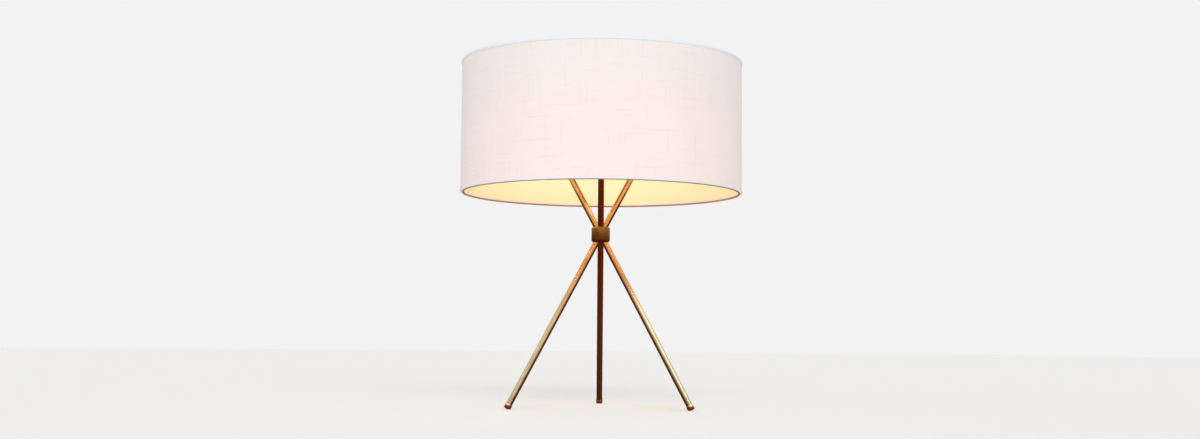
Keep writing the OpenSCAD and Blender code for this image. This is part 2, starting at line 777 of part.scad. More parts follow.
// A bow of wire from post to post, with a seat and a threaded stud on its crown.
module harp() {
    half = [
        [harp_foot_x, post_z], [harp_foot_x, harp_straight],
        [harp_bow_x, harp_bow_z], [harp_bow_x, harp_top_z]
    ];
    bends = [harp_bend, harp_bend, harp_corner];
    points = concat([for (p = half) [-p[0], p[1]]], [for (i = [3 : -1 : 0]) half[i]]);
    color("gold") union() {
        upright_xz() bent_wire(points, concat(bends, [for (i = [2 : -1 : 0]) bends[i]]), harp_wire_d);
        translate([0, 0, seat_z - seat_h]) cylinder(d = seat_d, h = seat_h);
        translate([0, 0, harp_top_z]) cylinder(d = stud_d, h = stud_top - harp_top_z);
    }
}
module harp_sleeve(side) {
    color("goldenrod") translate([side * harp_foot_x, 0, 0])
        tube(lock_z, lock_z + lock_l, lock_d / 2, harp_wire_d / 2 + run_fit);
}

module shade_linen() {
    color("linen") tube(shade_z + trim_t, lamp_h - trim_t, linen_r, liner_r + seat_fit);
}
module shade_liner() {
    color("ivory") tube(shade_z + trim_t, lamp_h - trim_t, liner_r, liner_r - liner_t);
}
// A strip folded over the shade's edge and round its ring.
module shade_trim() {
    r = shade_r;
    color("aliceblue") rotate_extrude() polygon([
        [r, 0], [r, trim_h], [r - trim_t + seat_fit, trim_h], [r - trim_t + seat_fit, trim_t],
        [trim_in_r + trim_t, trim_t], [trim_in_r + trim_t, trim_h], [trim_in_r, trim_h],
        [trim_in_r, 0]
    ]);
}
module shade_trim_bottom() {
    translate([0, 0, shade_z]) shade_trim();
}
// The upper trim is slit where the spokes pass through its inner leg.
module shade_trim_top() {
    slit = spoke_wire_d + 2 * free_gap;
    color("aliceblue") difference() {
        translate([0, 0, lamp_h]) mirror([0, 0, 1]) shade_trim();
        for (turn = spoke_turns)
            rotate(turn) translate([trim_in_r - free_gap, -slit / 2, lamp_h - trim_h - free_gap])
                cube([trim_t + 2 * free_gap, slit, trim_h - trim_t]);
    }
}
module shade_bottom_ring() {
    color("silver") translate([0, 0, ring_low_z]) rotate_extrude()
        translate([ring_r, 0]) circle(d = ring_wire_d);
}
// The top ring with its three recessed spokes and the washer that sits on the harp.
module shade_spider() {
    spoke = [[spoke_start, spoke_z], [ring_r - spoke_rise_x, spoke_z], [ring_r, ring_high_z]];
    color("silver") difference() {
        union() {
            translate([0, 0, ring_high_z]) rotate_extrude()
                translate([ring_r, 0]) circle(d = ring_wire_d);
            translate([0, 0, seat_z]) cylinder(d = spider_washer_d, h = spider_washer_t);
            for (turn = spoke_turns)
                rotate(turn) upright_xz() bent_wire(spoke, [spoke_bend], spoke_wire_d);
        }
        translate([0, 0, seat_z - reach / 2]) cylinder(r = stud_d / 2 + run_fit, h = reach);
    }
}

// A turned knob with a foot, a waist and a round head.
module finial() {
    z = seat_z + spider_washer_t + free_gap;
    head = finial_d / 2;
    color("gold") translate([0, 0, z]) difference() {
        rotate_extrude() union() {
            square([finial_foot_d / 2, finial_foot_h]);
            square([finial_waist_d / 2, finial_h - head]);
            intersection() {
                translate([0, finial_h - head]) circle(r = head);
                translate([0, finial_h - 2 * head]) square([head, 2 * head]);
            }
        }
        translate([0, 0, -hair]) cylinder(r = stud_d / 2 + run_fit, h = stud_top - z + free_gap);
    }
}

hub();
leg(leg_turns[0], true);  // leg_back
leg(leg_turns[1]);  // leg_left
leg(leg_turns[2]);  // leg_right
arm(arm_turns[0], true);  // arm_front
arm(arm_turns[1]);  // arm_right
arm(arm_turns[2]);  // arm_left
foot_ferrule(leg_turns[0]);  // foot_ferrule_back
foot_ferrule(leg_turns[1]);  // foot_ferrule_left
foot_ferrule(leg_turns[2]);  // foot_ferrule_right
foot_pad(leg_turns[0]);  // foot_pad_back
foot_pad(leg_turns[1]);  // foot_pad_left
foot_pad(leg_turns[2]);  // foot_pad_right
arm_plug(arm_turns[0]);  // arm_plug_front
arm_plug(arm_turns[1]);  // arm_plug_right
arm_plug(arm_turns[2]);  // arm_plug_left
inlet_bushing();
lead_live();
lead_neutral();
socket_bracket();
bracket_screws();
nipple();
lock_washer();
nipple_nut();
socket_cap();
socket_shell();
insulating_sleeve();
switch_body();
terminal_screws();
screw_shell();
centre_contact();
switch_knob();
bulb_glass();
bulb_stem();
bulb_filament();
bulb_base();
bulb_insulator();
bulb_tip();
harp_saddle();
harp();
harp_sleeve(-1);  // harp_sleeve_left
harp_sleeve(1);  // harp_sleeve_right
shade_linen();
shade_liner();
shade_spider();
shade_bottom_ring();
shade_trim_top();
shade_trim_bottom();
finial();
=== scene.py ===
"""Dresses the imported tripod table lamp: fine pieces, finishes, light and camera."""

import logging
import math
from dataclasses import dataclass, field
from enum import Enum

import bmesh
import bpy
from mathutils import Matrix, Vector


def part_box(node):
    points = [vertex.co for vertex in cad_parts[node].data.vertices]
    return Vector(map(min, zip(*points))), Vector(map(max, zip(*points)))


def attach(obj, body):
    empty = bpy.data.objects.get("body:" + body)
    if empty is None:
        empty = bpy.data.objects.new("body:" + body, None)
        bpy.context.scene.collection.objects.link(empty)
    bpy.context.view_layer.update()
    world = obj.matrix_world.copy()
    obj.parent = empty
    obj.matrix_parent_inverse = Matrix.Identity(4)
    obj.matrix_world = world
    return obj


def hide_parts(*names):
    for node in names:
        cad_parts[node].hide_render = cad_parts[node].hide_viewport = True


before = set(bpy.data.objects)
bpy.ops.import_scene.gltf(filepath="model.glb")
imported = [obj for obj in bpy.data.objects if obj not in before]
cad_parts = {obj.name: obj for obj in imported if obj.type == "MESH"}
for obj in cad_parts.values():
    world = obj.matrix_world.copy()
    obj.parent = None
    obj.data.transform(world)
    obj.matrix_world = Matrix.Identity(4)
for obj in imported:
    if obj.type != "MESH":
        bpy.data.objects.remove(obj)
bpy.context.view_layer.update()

LOG = logging.getLogger("lamp")
MM = 0.001
FULL_TURN = 2 * math.pi
UP = Vector((0, 0, 1))
UV_NAME = "cloth_uv"
SPOKE_TURNS = (math.radians(30), math.radians(150), math.radians(270))
# How near counts as touching, and as the same point.
TOUCH = 0.001 * MM
MERGE = 0.0001 * MM
ROD_SIDES = 48
WIRE_SIDES = 16

Colour = tuple[float, float, float]
Heading = tuple[float, float, float]
Point = tuple[float, float]
Span = tuple[float, float]
Socket = bpy.types.NodeSocket
WHITE: Colour = (1.0, 1.0, 1.0)
DOWN: Heading = (0.0, 0.0, -1.0)


def opaque(colour: Colour) -> tuple[float, float, float, float]:
    """Gives a colour its full alpha."""
    return (*colour, 1.0)


def lift(height: float) -> Matrix:
    """Gives the transform that raises a shape."""
    return Matrix.Translation((0, 0, height))


def stand_up(name: str, data: bpy.types.ID) -> bpy.types.Object:
    """Makes an object of a mesh, a camera or a light, and puts it in the scene.

    Args:
        name: The object's name.
        data: Its mesh, camera or light.

    Returns:
        The object.
    """
    obj = bpy.data.objects.new(name, data)
    bpy.context.scene.collection.objects.link(obj)
    return obj


def as_mesh(bm: bmesh.types.BMesh, name: str) -> bpy.types.Mesh:
    """Turns a shape into a mesh, and frees the shape.

    Args:
        bm: The shape.
        name: The mesh's name.

    Returns:
        The mesh.
    """
    mesh = bpy.data.meshes.new(name)
    bm.to_mesh(mesh)
    bm.free()
    return mesh


class Wiring:
    """Adds and joins the nodes of one node tree."""

    def __init__(self, tree: bpy.types.NodeTree) -> None:
        """Keeps the tree that is wired."""
        self.tree = tree

    def add(self, kind: str, inputs: dict | None = None, **settings) -> bpy.types.Node:
        """Adds a node and feeds its inputs.

        Args:
            kind: The node's type.
            inputs: Values or source sockets, by input name or index.
            **settings: Properties of the node itself.

        Returns:
            The new node.
        """
        node = self.tree.nodes.new(kind)
        for name, value in settings.items():
            setattr(node, name, value)
        for key, value in (inputs or {}).items():
            self.feed(node.inputs[key], value)
        return node

    def feed(self, socket: Socket, value: object) -> None:
        """Links a source socket to an input, or sets the input's value.

        Args:
            socket: The input.
            value: A source socket, a number, a vector or a colour.
        """
        if isinstance(value, Socket):
            self.tree.links.new(value, socket)
        else:
            socket.default_value = value

    def math(self, operation: str, *values: object) -> Socket:
        """Works out one step of arithmetic.

        Args:
            operation: The Math node's operation.
            *values: Its operands, as numbers or sockets.

        Returns:
            The result's socket.
        """
        node = self.add("ShaderNodeMath", dict(enumerate(values)), operation=operation)
        return node.outputs[0]

    def remap(self, value: object, source: tuple, target: Span) -> Socket:
        """Maps a value from one range to another, smoothly.

        Args:
            value: The value's socket.
            source: Its lowest and highest value.
            target: What these become.

        Returns:
            The mapped value's socket.
        """
        node = self.add(
            "ShaderNodeMapRange",
            {0: value, 1: source[0], 2: source[1], 3: target[0], 4: target[1]},
            interpolation_type="SMOOTHSTEP",
        )
        return node.outputs[0]

    def blend(self, factor: object, first: object, second: object) -> Socket:
        """Blends two colours.

        Args:
            factor: The share of the second colour.
            first: The first colour, as four numbers or a socket.
            second: The second colour.

        Returns:
            The blended colour's socket.
        """
        node = self.add(
            "ShaderNodeMix", {0: factor, 6: first, 7: second}, data_type="RGBA"
        )
        return node.outputs[2]

    def noise(self, vector: object, scale: object, detail: float) -> Socket:
        """Reads a noise texture.

        Args:
            vector: Where it is read.
            scale: Its scale.
            detail: How many finer layers it has.

        Returns:
            The noise value's socket.
        """
        inputs = {"Vector": vector, "Scale": scale, "Detail": detail}
        return self.add("ShaderNodeTexNoise", inputs).outputs["Fac"]

    def stretch(self, vector: object, scale: tuple) -> Socket:
        """Scales a pattern's coordinates.

        Args:
            vector: The coordinates.
            scale: The scale along each axis.

        Returns:
            The new coordinates' socket.
        """
        return self.add("ShaderNodeMapping", {"Vector": vector, "Scale": scale}).outputs[0]


class Effect(Enum):
    """The patterns that several materials share: group name, inputs and outputs."""

    WEAVE = ("lamp_weave", ("Threads", "Slubs"), ("Height", "Slub"))
    STREAKS = ("lamp_streaks", ("Lines",), ("Streak",))
    MOTTLE = ("lamp_mottle", ("Scale",), ("Mask",))
    SPECKS = ("lamp_specks", ("Scale",), ("Mask",))
    FADE = ("lamp_fade", ("Low", "High"), ("Mask",))
    WEAR = ("lamp_wear", ("Start", "End", "Lines"), ("Mask",))


@dataclass
class Effects:
    """Builds each shared pattern once, as a shader node group."""

    thread_length: float = 0.06
    wander_scale: float = 0.35
    wander_depth: float = 2.2
    wander_detail: float = 2.0
    slub_scale: float = 0.16
    slub_range: Span = (0.50, 0.74)
    slub_detail: float = 4.0
    streak_length: float = 0.02
    streak_broad: float = 0.2
    streak_detail: float = 2.0
    patch_range: Span = (0.36, 0.66)
    patch_detail: float = 5.0
    speck_range: Span = (0.10, 0.22)
    gate_scale: float = 0.4
    gate_range: Span = (0.55, 0.70)
    gate_detail: float = 1.0
    wear_length: float = 0.12
    wear_range: Span = (0.42, 0.60)
    wear_detail: float = 4.0
    wear_least: float = 0.25
    made: dict[Effect, bpy.types.NodeTree] = field(default_factory=dict)

    def place(self, wiring: Wiring, effect: Effect, **inputs: object) -> bpy.types.Node:
        """Places a pattern in a material.

        Args:
            wiring: The material's tree.
            effect: Which pattern.
            **inputs: The group's values for this material.

        Returns:
            The group node.
        """
        if effect not in self.made:
            self.made[effect] = self._group(effect)
        return wiring.add("ShaderNodeGroup", inputs, node_tree=self.made[effect])

    def _group(self, effect: Effect) -> bpy.types.NodeTree:
        """Builds a pattern's group: its sockets and the nodes between them.

        Args:
            effect: Which pattern.

        Returns:
            The group.
        """
        name, inputs, outputs = effect.value
        tree = bpy.data.node_groups.new(name, "ShaderNodeTree")
        tree.interface.new_socket("Vector", in_out="INPUT", socket_type="NodeSocketVector")
        for way, labels in (("INPUT", inputs), ("OUTPUT", outputs)):
            for label in labels:
                tree.interface.new_socket(label, in_out=way, socket_type="NodeSocketFloat")
        w = Wiring(tree)
        given = w.add("NodeGroupInput").outputs
        build = {
            Effect.WEAVE: self._weave, Effect.STREAKS: self._streaks,
            Effect.MOTTLE: self._mottle, Effect.SPECKS: self._specks,
            Effect.FADE: self._fade, Effect.WEAR: self._wear,
        }[effect]
        made = build(w, given["Vector"], *(given[label] for label in inputs))
        w.add("NodeGroupOutput", dict(zip(outputs, made)))
        return tree

    def _weave(self, w: Wiring, place: Socket, threads: Socket, amount: Socket) -> tuple:
        """Plain weave of uneven threads, with thicker slubs here and there.

        Args:
            w: The group's wiring.
            place: Where the pattern is read.
            threads: Threads to the metre.
            amount: How strong the slubs are.

        Returns:
            The sockets of the height and of the slubs.
        """
        split = w.add("ShaderNodeSeparateXYZ", {0: place})
        waves, slubs = [], []
        long = self.thread_length
        for axis, scale in ((0, (1.0, long, 1.0)), (1, (long, 1.0, 1.0))):
            drawn = w.stretch(place, scale)
            slow = w.math("MULTIPLY", threads, self.wander_scale)
            wander = w.noise(drawn, slow, self.wander_detail)
            shift = w.math("MULTIPLY", wander, self.wander_depth)
            along = w.math("MULTIPLY", split.outputs[axis], threads)
            phase = w.math("MULTIPLY", w.math("ADD", along, shift), math.pi)
            waves.append(w.math("SINE", phase))
            sparse = w.math("MULTIPLY", threads, self.slub_scale)
            slub = w.noise(drawn, sparse, self.slub_detail)
            slubs.append(w.remap(slub, self.slub_range, (0.0, 1.0)))
        rise = w.math("MULTIPLY", w.math("MULTIPLY", *waves), 0.5)
        over, under = w.math("ADD", 0.5, rise), w.math("SUBTRACT", 0.5, rise)
        warp = w.math("MULTIPLY", w.math("ABSOLUTE", waves[0]), over)
        weft = w.math("MULTIPLY", w.math("ABSOLUTE", waves[1]), under)
        slub = w.math("MULTIPLY", w.math("MAXIMUM", *slubs), amount)
        return w.math("ADD", w.math("MAXIMUM", warp, weft), slub), slub

    def _streaks(self, w: Wiring, place: Socket, lines: Socket) -> tuple:
        """Fine brushed lines along X.

        Args:
            w: The group's wiring.
            place: Where the pattern is read.
            lines: How fine the lines are.

        Returns:
            The streaks' socket.
        """
        drawn = w.stretch(place, (self.streak_length, 1.0, 1.0))
        few = w.math("MULTIPLY", lines, self.streak_broad)
        fine = w.noise(drawn, lines, self.streak_detail)
        broad = w.noise(drawn, few, self.streak_detail)
        return (w.math("MULTIPLY", w.math("ADD", fine, broad), 0.5),)

    def _mottle(self, w: Wiring, place: Socket, scale: Socket) -> tuple:
        """Soft uneven patches.

        Args:
            w: The group's wiring.
            place: Where the pattern is read.
            scale: How small the patches are.

        Returns:
            The mask's socket.
        """
        patches = w.noise(place, scale, self.patch_detail)
        return (w.remap(patches, self.patch_range, (0.0, 1.0)),)

    def _specks(self, w: Wiring, place: Socket, scale: Socket) -> tuple:
        """Scattered small specks.

        Args:
            w: The group's wiring.
            place: Where the pattern is read.
            scale: How small the specks are.

        Returns:
            The mask's socket.
        """
        cells = w.add("ShaderNodeTexVoronoi", {"Vector": place, "Scale": scale})
        spot = w.remap(cells.outputs["Distance"], self.speck_range, (1.0, 0.0))
        gate = w.noise(place, w.math("MULTIPLY", scale, self.gate_scale), self.gate_detail)
        return (w.math("MULTIPLY", spot, w.remap(gate, self.gate_range, (0.0, 1.0))),)

    def _fade(self, w: Wiring, place: Socket, low: Socket, high: Socket) -> tuple:
        """A change from 0 to 1 between two heights.

        Args:
            w: The group's wiring.
            place: Where the pattern is read.
            low: The height of 0.
            high: The height of 1.

        Returns:
            The mask's socket.
        """
        height = w.add("ShaderNodeSeparateXYZ", {0: place}).outputs[2]
        return (w.remap(height, (low, high), (0.0, 1.0)),)

    def _wear(
        self, w: Wiring, place: Socket, start: Socket, end: Socket, lines: Socket
    ) -> tuple:
        """Streaky wear that grows along X.

        Args:
            w: The group's wiring.
            place: Where the pattern is read.
            start: The distance at which it starts.
            end: The distance at which it is full.
            lines: How fine its streaks are.

        Returns:
            The mask's socket.
        """
        along = w.add("ShaderNodeSeparateXYZ", {0: place}).outputs[0]
        grown = w.remap(along, (start, end), (0.0, 1.0))
        drawn = w.stretch(place, (self.wear_length, 1.0, 1.0))
        scratch = w.noise(drawn, lines, self.wear_detail)
        share = w.remap(scratch, self.wear_range, (self.wear_least, 1.0))
        return (w.math("MULTIPLY", grown, share),)


class Grain(Enum):
    """Which way a metal's brushed lines run."""

    ALONG_UV = "along the piece's own UV map"
    AROUND = "round the vertical axis"
    NONE = "no lines"


def start_material(name: str) -> tuple[bpy.types.Material, Wiring, bpy.types.Node]:
    """Starts a material with its Principled shader.

    Args:
        name: The material's name.

    Returns:
        The material, its wiring and its shader.
    """
    material = bpy.data.materials.new(name)
    material.use_nodes = True
    material.node_tree.nodes.clear()
    wiring = Wiring(material.node_tree)
    shader = wiring.add("ShaderNodeBsdfPrincipled")
    wiring.add("ShaderNodeOutputMaterial", {"Surface": shader.outputs[0]})
    return material, wiring, shader


def add_bump(wiring: Wiring, shader: bpy.types.Node, height: object, depth: float) -> None:
    """Bumps a surface by a height.

    Args:
        wiring: The material's tree.
        shader: The Principled shader.
        height: The height's socket.
        depth: How deep the bump is, in metres.
    """
    bump = wiring.add("ShaderNodeBump", {"Height": height, "Distance": depth, "Strength": 1.0})
    wiring.feed(shader.inputs["Normal"], bump.outputs[0])


@dataclass(frozen=True)
class Metal:
    """A metal with brushed lines and darker patches."""

    name: str
    colour: Colour
    tarnish: Colour
    rough: Span = (0.22, 0.38)
    grain: Grain = Grain.NONE
    lines: float = 3500.0
    line_range: Span = (0.35, 0.62)
    line_share: float = 0.35
    gloss_range: Span = (0.3, 0.7)
    patch: float = 60.0
    tarnish_share: float = 0.5
    depth: float = 0.02 * MM
    # Painted light: the piece is painted in this paler colour low down and in its own warmer
    # colour higher up, for cool light near the floor and warm light from the shade; fade gives
    # the heights of the change.
    painted_light_low_colour: Colour | None = None
    fade: Span = (0.04, 0.27)
    speck_ratio: float = 12.0
    specks: float = 0.5
    wear: float = 0.0
    wear_reach: Span = (0.20, 0.30)
    wear_lines: float = 900.0

    def material(self, effects: Effects) -> bpy.types.Material:
        """Builds the metal's material.

        Args:
            effects: The shared patterns.

        Returns:
            The material.
        """
        material, w, shader = start_material(self.name)
        place = w.add("ShaderNodeTexCoord").outputs["Object"]
        mottle = effects.place(w, Effect.MOTTLE, Vector=place, Scale=self.patch)
        small = self.patch * self.speck_ratio
        specks = effects.place(w, Effect.SPECKS, Vector=place, Scale=small)
        dark = w.math("MULTIPLY", mottle.outputs[0], self.tarnish_share)
        stained = w.math("MAXIMUM", dark, w.math("MULTIPLY", specks.outputs[0], self.specks))
        clean, tarnish = opaque(self.colour), opaque(self.tarnish)
        # Painted light: paler low on the piece, warmer higher up.
        if self.painted_light_low_colour is not None:
            low, high = self.fade
            risen = effects.place(w, Effect.FADE, Vector=place, Low=low, High=high)
            clean = w.blend(risen.outputs[0], opaque(self.painted_light_low_colour), clean)
        colour = w.blend(stained, clean, tarnish)
        height = mottle.outputs[0]
        if self.grain is not Grain.NONE:
            lines = self._lines(w, place)
            streaks = effects.place(w, Effect.STREAKS, Vector=lines, Lines=self.lines)
            height = streaks.outputs[0]
            shade = w.remap(height, self.line_range, (0.0, self.line_share))
            colour = w.blend(shade, colour, tarnish)
            if self.wear > 0:
                start, end = self.wear_reach
                worn = effects.place(
                    w, Effect.WEAR, Vector=lines, Start=start, End=end, Lines=self.wear_lines
                )
                rubbed = w.math("MULTIPLY", worn.outputs[0], self.wear)
                colour = w.blend(rubbed, colour, tarnish)
        w.feed(shader.inputs["Base Color"], colour)
        w.feed(shader.inputs["Roughness"], w.remap(height, self.gloss_range, self.rough))
        shader.inputs["Metallic"].default_value = 1.0
        add_bump(w, shader, height, self.depth)
        return material

    def _lines(self, w: Wiring, place: Socket) -> Socket:
        """Coordinates whose X runs along the brushed lines.

        Args:
            w: The material's tree.
            place: Object coordinates.

        Returns:
            The coordinates' socket.
        """
        if self.grain is Grain.ALONG_UV:
            return w.add("ShaderNodeUVMap", uv_map=UV_NAME).outputs[0]
        split = w.add("ShaderNodeSeparateXYZ", {0: place})
        across = w.math("MULTIPLY", split.outputs[0], split.outputs[0])
        deep = w.math("MULTIPLY", split.outputs[1], split.outputs[1])
        radius = w.math("SQRT", w.math("ADD", across, deep))
        joined = w.add("ShaderNodeCombineXYZ", {0: 0.0, 1: split.outputs[2], 2: radius})
        return joined.outputs[0]


@dataclass(frozen=True)
class Plastic:
    """A moulded plastic or rubber with a fine texture and a little dust."""

    name: str
    colour: Colour
    dust: Colour
    rough: Span = (0.35, 0.5)
    texture: float = 2500.0
    texture_detail: float = 2.0
    depth: float = 0.02 * MM
    coat: float = 0.0
    patch: float = 90.0
    patch_dust: float = 0.18
    speck: float = 1400.0
    speck_dust: float = 0.3

    def material(self, effects: Effects) -> bpy.types.Material:
        """Builds the plastic's material.

        Args:
            effects: The shared patterns.

        Returns:
            The material.
        """
        material, w, shader = start_material(self.name)
        place = w.add("ShaderNodeTexCoord").outputs["Object"]
        mottle = effects.place(w, Effect.MOTTLE, Vector=place, Scale=self.patch)
        specks = effects.place(w, Effect.SPECKS, Vector=place, Scale=self.speck)
        fine = w.noise(place, self.texture, self.texture_detail)
        dusty = w.math(
            "ADD",
            w.math("MULTIPLY", mottle.outputs[0], self.patch_dust),
            w.math("MULTIPLY", specks.outputs[0], self.speck_dust),
        )
        colour = w.blend(dusty, opaque(self.colour), opaque(self.dust))
        w.feed(shader.inputs["Base Color"], colour)
        rough = w.remap(mottle.outputs[0], (0.0, 1.0), self.rough)
        w.feed(shader.inputs["Roughness"], rough)
        shader.inputs["Coat Weight"].default_value = self.coat
        add_bump(w, shader, fine, self.depth)
        return material


@dataclass(frozen=True)
class Cloth:
    """A woven cloth that reads its threads from the piece's UV map, in metres."""

    name: str
    colour: Colour
    slub: Colour
    stain: Colour
    threads: float = 1700.0
    slubs: float = 0.5
    depth: float = 0.12 * MM
    sheen: float = 0.15
    specular: float = 0.2
    rough: Span = (0.95, 0.8)
    patch: float = 14.0
    patch_share: float = 0.35
    streak_share: float = 0.6
    thread_high: float = 0.7
    thread_share: float = 0.5
    fleck: float = 320.0
    fleck_share: float = 0.35
    # Painted light: the linen is painted warmer below, for the bulb's glow through it, and in
    # this plainer colour near the top; fade gives the heights of the change.
    top_colour_without_glow: Colour | None = None
    fade: Span = (0.40, 0.53)

    def material(self, effects: Effects) -> bpy.types.Material:
        """Builds the cloth's material.

        Args:
            effects: The shared patterns.

        Returns:
            The material.
        """
        material, w, shader = start_material(self.name)
        place = w.add("ShaderNodeUVMap", uv_map=UV_NAME).outputs[0]
        weave = effects.place(
            w, Effect.WEAVE, Vector=place, Threads=self.threads, Slubs=self.slubs
        )
        height, streak = weave.outputs["Height"], weave.outputs["Slub"]
        patches = effects.place(w, Effect.MOTTLE, Vector=place, Scale=self.patch)
        flecks = effects.place(w, Effect.SPECKS, Vector=place, Scale=self.fleck)
        clean, slub = opaque(self.colour), opaque(self.slub)
        # Painted light: the bulb's glow is painted into the lower linen's warmer colour.
        if self.top_colour_without_glow is not None:
            low, high = self.fade
            point = w.add("ShaderNodeTexCoord").outputs["Object"]
            risen = effects.place(w, Effect.FADE, Vector=point, Low=low, High=high)
            clean = w.blend(risen.outputs[0], clean, opaque(self.top_colour_without_glow))
        tint = w.math("MULTIPLY", patches.outputs[0], self.patch_share)
        colour = w.blend(tint, clean, opaque(self.stain))
        for share in (
            w.math("MULTIPLY", streak, self.streak_share),
            w.remap(height, (0.0, self.thread_high), (self.thread_share, 0.0)),
            w.math("MULTIPLY", flecks.outputs[0], self.fleck_share),
        ):
            colour = w.blend(share, colour, slub)
        w.feed(shader.inputs["Base Color"], colour)
        w.feed(shader.inputs["Roughness"], w.remap(height, (0.0, 1.0), self.rough))
        shader.inputs["Sheen Weight"].default_value = self.sheen
        shader.inputs["Specular IOR Level"].default_value = self.specular
        add_bump(w, shader, height, self.depth)
        return material


@dataclass(frozen=True)
class Glass:
    """Frosted or clear glass, with a fine uneven coat."""

    name: str
    colour: Colour
    haze: Colour
    rough: Span
    clear: float
    glow: Colour = (0.0, 0.0, 0.0)
    glow_strength: float = 0.0
    patch: float = 70.0
    haze_share: float = 0.3

    def material(self, effects: Effects) -> bpy.types.Material:
        """Builds the glass's material.

        Args:
            effects: The shared patterns.

        Returns:
            The material.
        """
        material, w, shader = start_material(self.name)
        place = w.add("ShaderNodeTexCoord").outputs["Object"]
        mottle = effects.place(w, Effect.MOTTLE, Vector=place, Scale=self.patch).outputs[0]
        haze = w.math("MULTIPLY", mottle, self.haze_share)
        colour = w.blend(haze, opaque(self.colour), opaque(self.haze))
        w.feed(shader.inputs["Base Color"], colour)
        w.feed(shader.inputs["Roughness"], w.remap(mottle, (0.0, 1.0), self.rough))
        shader.inputs["Transmission Weight"].default_value = self.clear
        shader.inputs["Emission Color"].default_value = opaque(self.glow)
        shader.inputs["Emission Strength"].default_value = self.glow_strength
        return material


class Finishes:
    """All finishes of the lamp, by the record's slot names."""

    def __init__(self) -> None:
        """Lists the finishes and prepares the shared patterns."""
        self.effects = Effects()
        self.made: dict[str, bpy.types.Material] = {}
        finishes: tuple[Metal | Plastic | Cloth | Glass, ...] = (
            # Painted light on the tubes: pale low down, warm orange towards the hub.
            Metal(
                "tube_brass", (0.88, 0.46, 0.19), (0.40, 0.17, 0.06),
                rough=(0.16, 0.28), grain=Grain.ALONG_UV, lines=2600.0, tarnish_share=0.25,
                painted_light_low_colour=(0.76, 0.73, 0.48), wear=0.6, specks=0.1, depth=0.006 * MM,
            ),
            Metal(
                "hub_brass", (0.60, 0.30, 0.10), (0.22, 0.08, 0.025),
                rough=(0.30, 0.46), grain=Grain.AROUND, tarnish_share=0.6,
            ),
            Metal(
                "ferrule_copper", (1.0, 0.60, 0.32), (0.70, 0.28, 0.12),
                rough=(0.24, 0.38), patch=160.0, tarnish_share=0.3, specks=0.2,
            ),
            # Painted shade: the dark copper-brown of the ring inside the shade's bottom edge,
            # where its rim is shaded and warmly lit.
            Plastic(
                "rim_shade_paint", (0.44, 0.20, 0.10), (0.28, 0.12, 0.06), rough=(0.4, 0.6)
            ),
            Metal("plug_brass", (0.80, 0.58, 0.26), (0.38, 0.24, 0.09)),
            Metal(
                "fitting_brass", (0.86, 0.64, 0.30), (0.45, 0.28, 0.10), rough=(0.18, 0.3),
                tarnish_share=0.3,
            ),
            Metal("zinc_steel", (0.66, 0.67, 0.68), (0.36, 0.36, 0.35)),
            Metal("filament_metal", (0.75, 0.5, 0.3), (0.3, 0.2, 0.15)),
            Metal("base_metal", (0.78, 0.77, 0.75), (0.42, 0.40, 0.36)),
            Plastic(
                "pad_rubber", (0.130, 0.016, 0.008), (0.16, 0.05, 0.03), rough=(0.5, 0.7)
            ),
            Plastic("bushing_plastic", (0.012,) * 3, (0.05,) * 3),
            Plastic("lead_dark", (0.015,) * 3, (0.06,) * 3),
            Plastic("lead_light", (0.72, 0.72, 0.68), (0.45, 0.43, 0.38)),
            Plastic(
                "sleeve_card", (0.36, 0.24, 0.12), (0.24, 0.15, 0.07), rough=(0.7, 0.9),
                texture=900.0, depth=0.1 * MM,
            ),
            Plastic("switch_phenolic", (0.01,) * 3, (0.04,) * 3),
            Plastic(
                "knob_plastic", (0.008,) * 3, (0.04,) * 3, rough=(0.16, 0.3), coat=0.4
            ),
            Plastic(
                "base_glass", (0.008, 0.008, 0.012), (0.03,) * 3, rough=(0.1, 0.2), coat=0.6
            ),
            Glass(
                "bulb_frosted", (0.95, 0.90, 0.80), (0.85, 0.80, 0.70), (0.5, 0.7), 0.25,
                glow=(1.0, 0.80, 0.50), glow_strength=1.2,
            ),
            Glass(
                "bulb_clear", (0.9, 0.95, 0.95), (0.8, 0.85, 0.85), (0.05, 0.1), 1.0
            ),
            # Painted light on the linen: warm below for the bulb's glow, plainer at the top.
            Cloth(
                "shade_linen", (0.94, 0.825, 0.80), (0.78, 0.68, 0.65), (0.91, 0.79, 0.76),
                top_colour_without_glow=(0.86, 0.83, 0.815), slubs=0.8,
            ),
            Cloth(
                "trim_linen", (0.80, 0.84, 0.91), (0.70, 0.74, 0.82), (0.76, 0.80, 0.87),
                threads=1400.0, slubs=0.3,
            ),
            Plastic(
                "shade_styrene", (0.90, 0.82, 0.58), (0.86, 0.76, 0.50), rough=(0.5, 0.65)
            ),
            Plastic(
                "shade_wire", (0.80, 0.79, 0.75), (0.55, 0.53, 0.48), rough=(0.35, 0.5), coat=0.2
            ),
        )
        self.known = {finish.name: finish for finish in finishes}

    def get(self, slot: str) -> bpy.types.Material:
        """Gives a slot's material, built once.

        Args:
            slot: The record's slot name.

        Returns:
            The material.
        """
        if slot not in self.made:
            self.made[slot] = self.known[slot].material(self.effects)
        return self.made[slot]


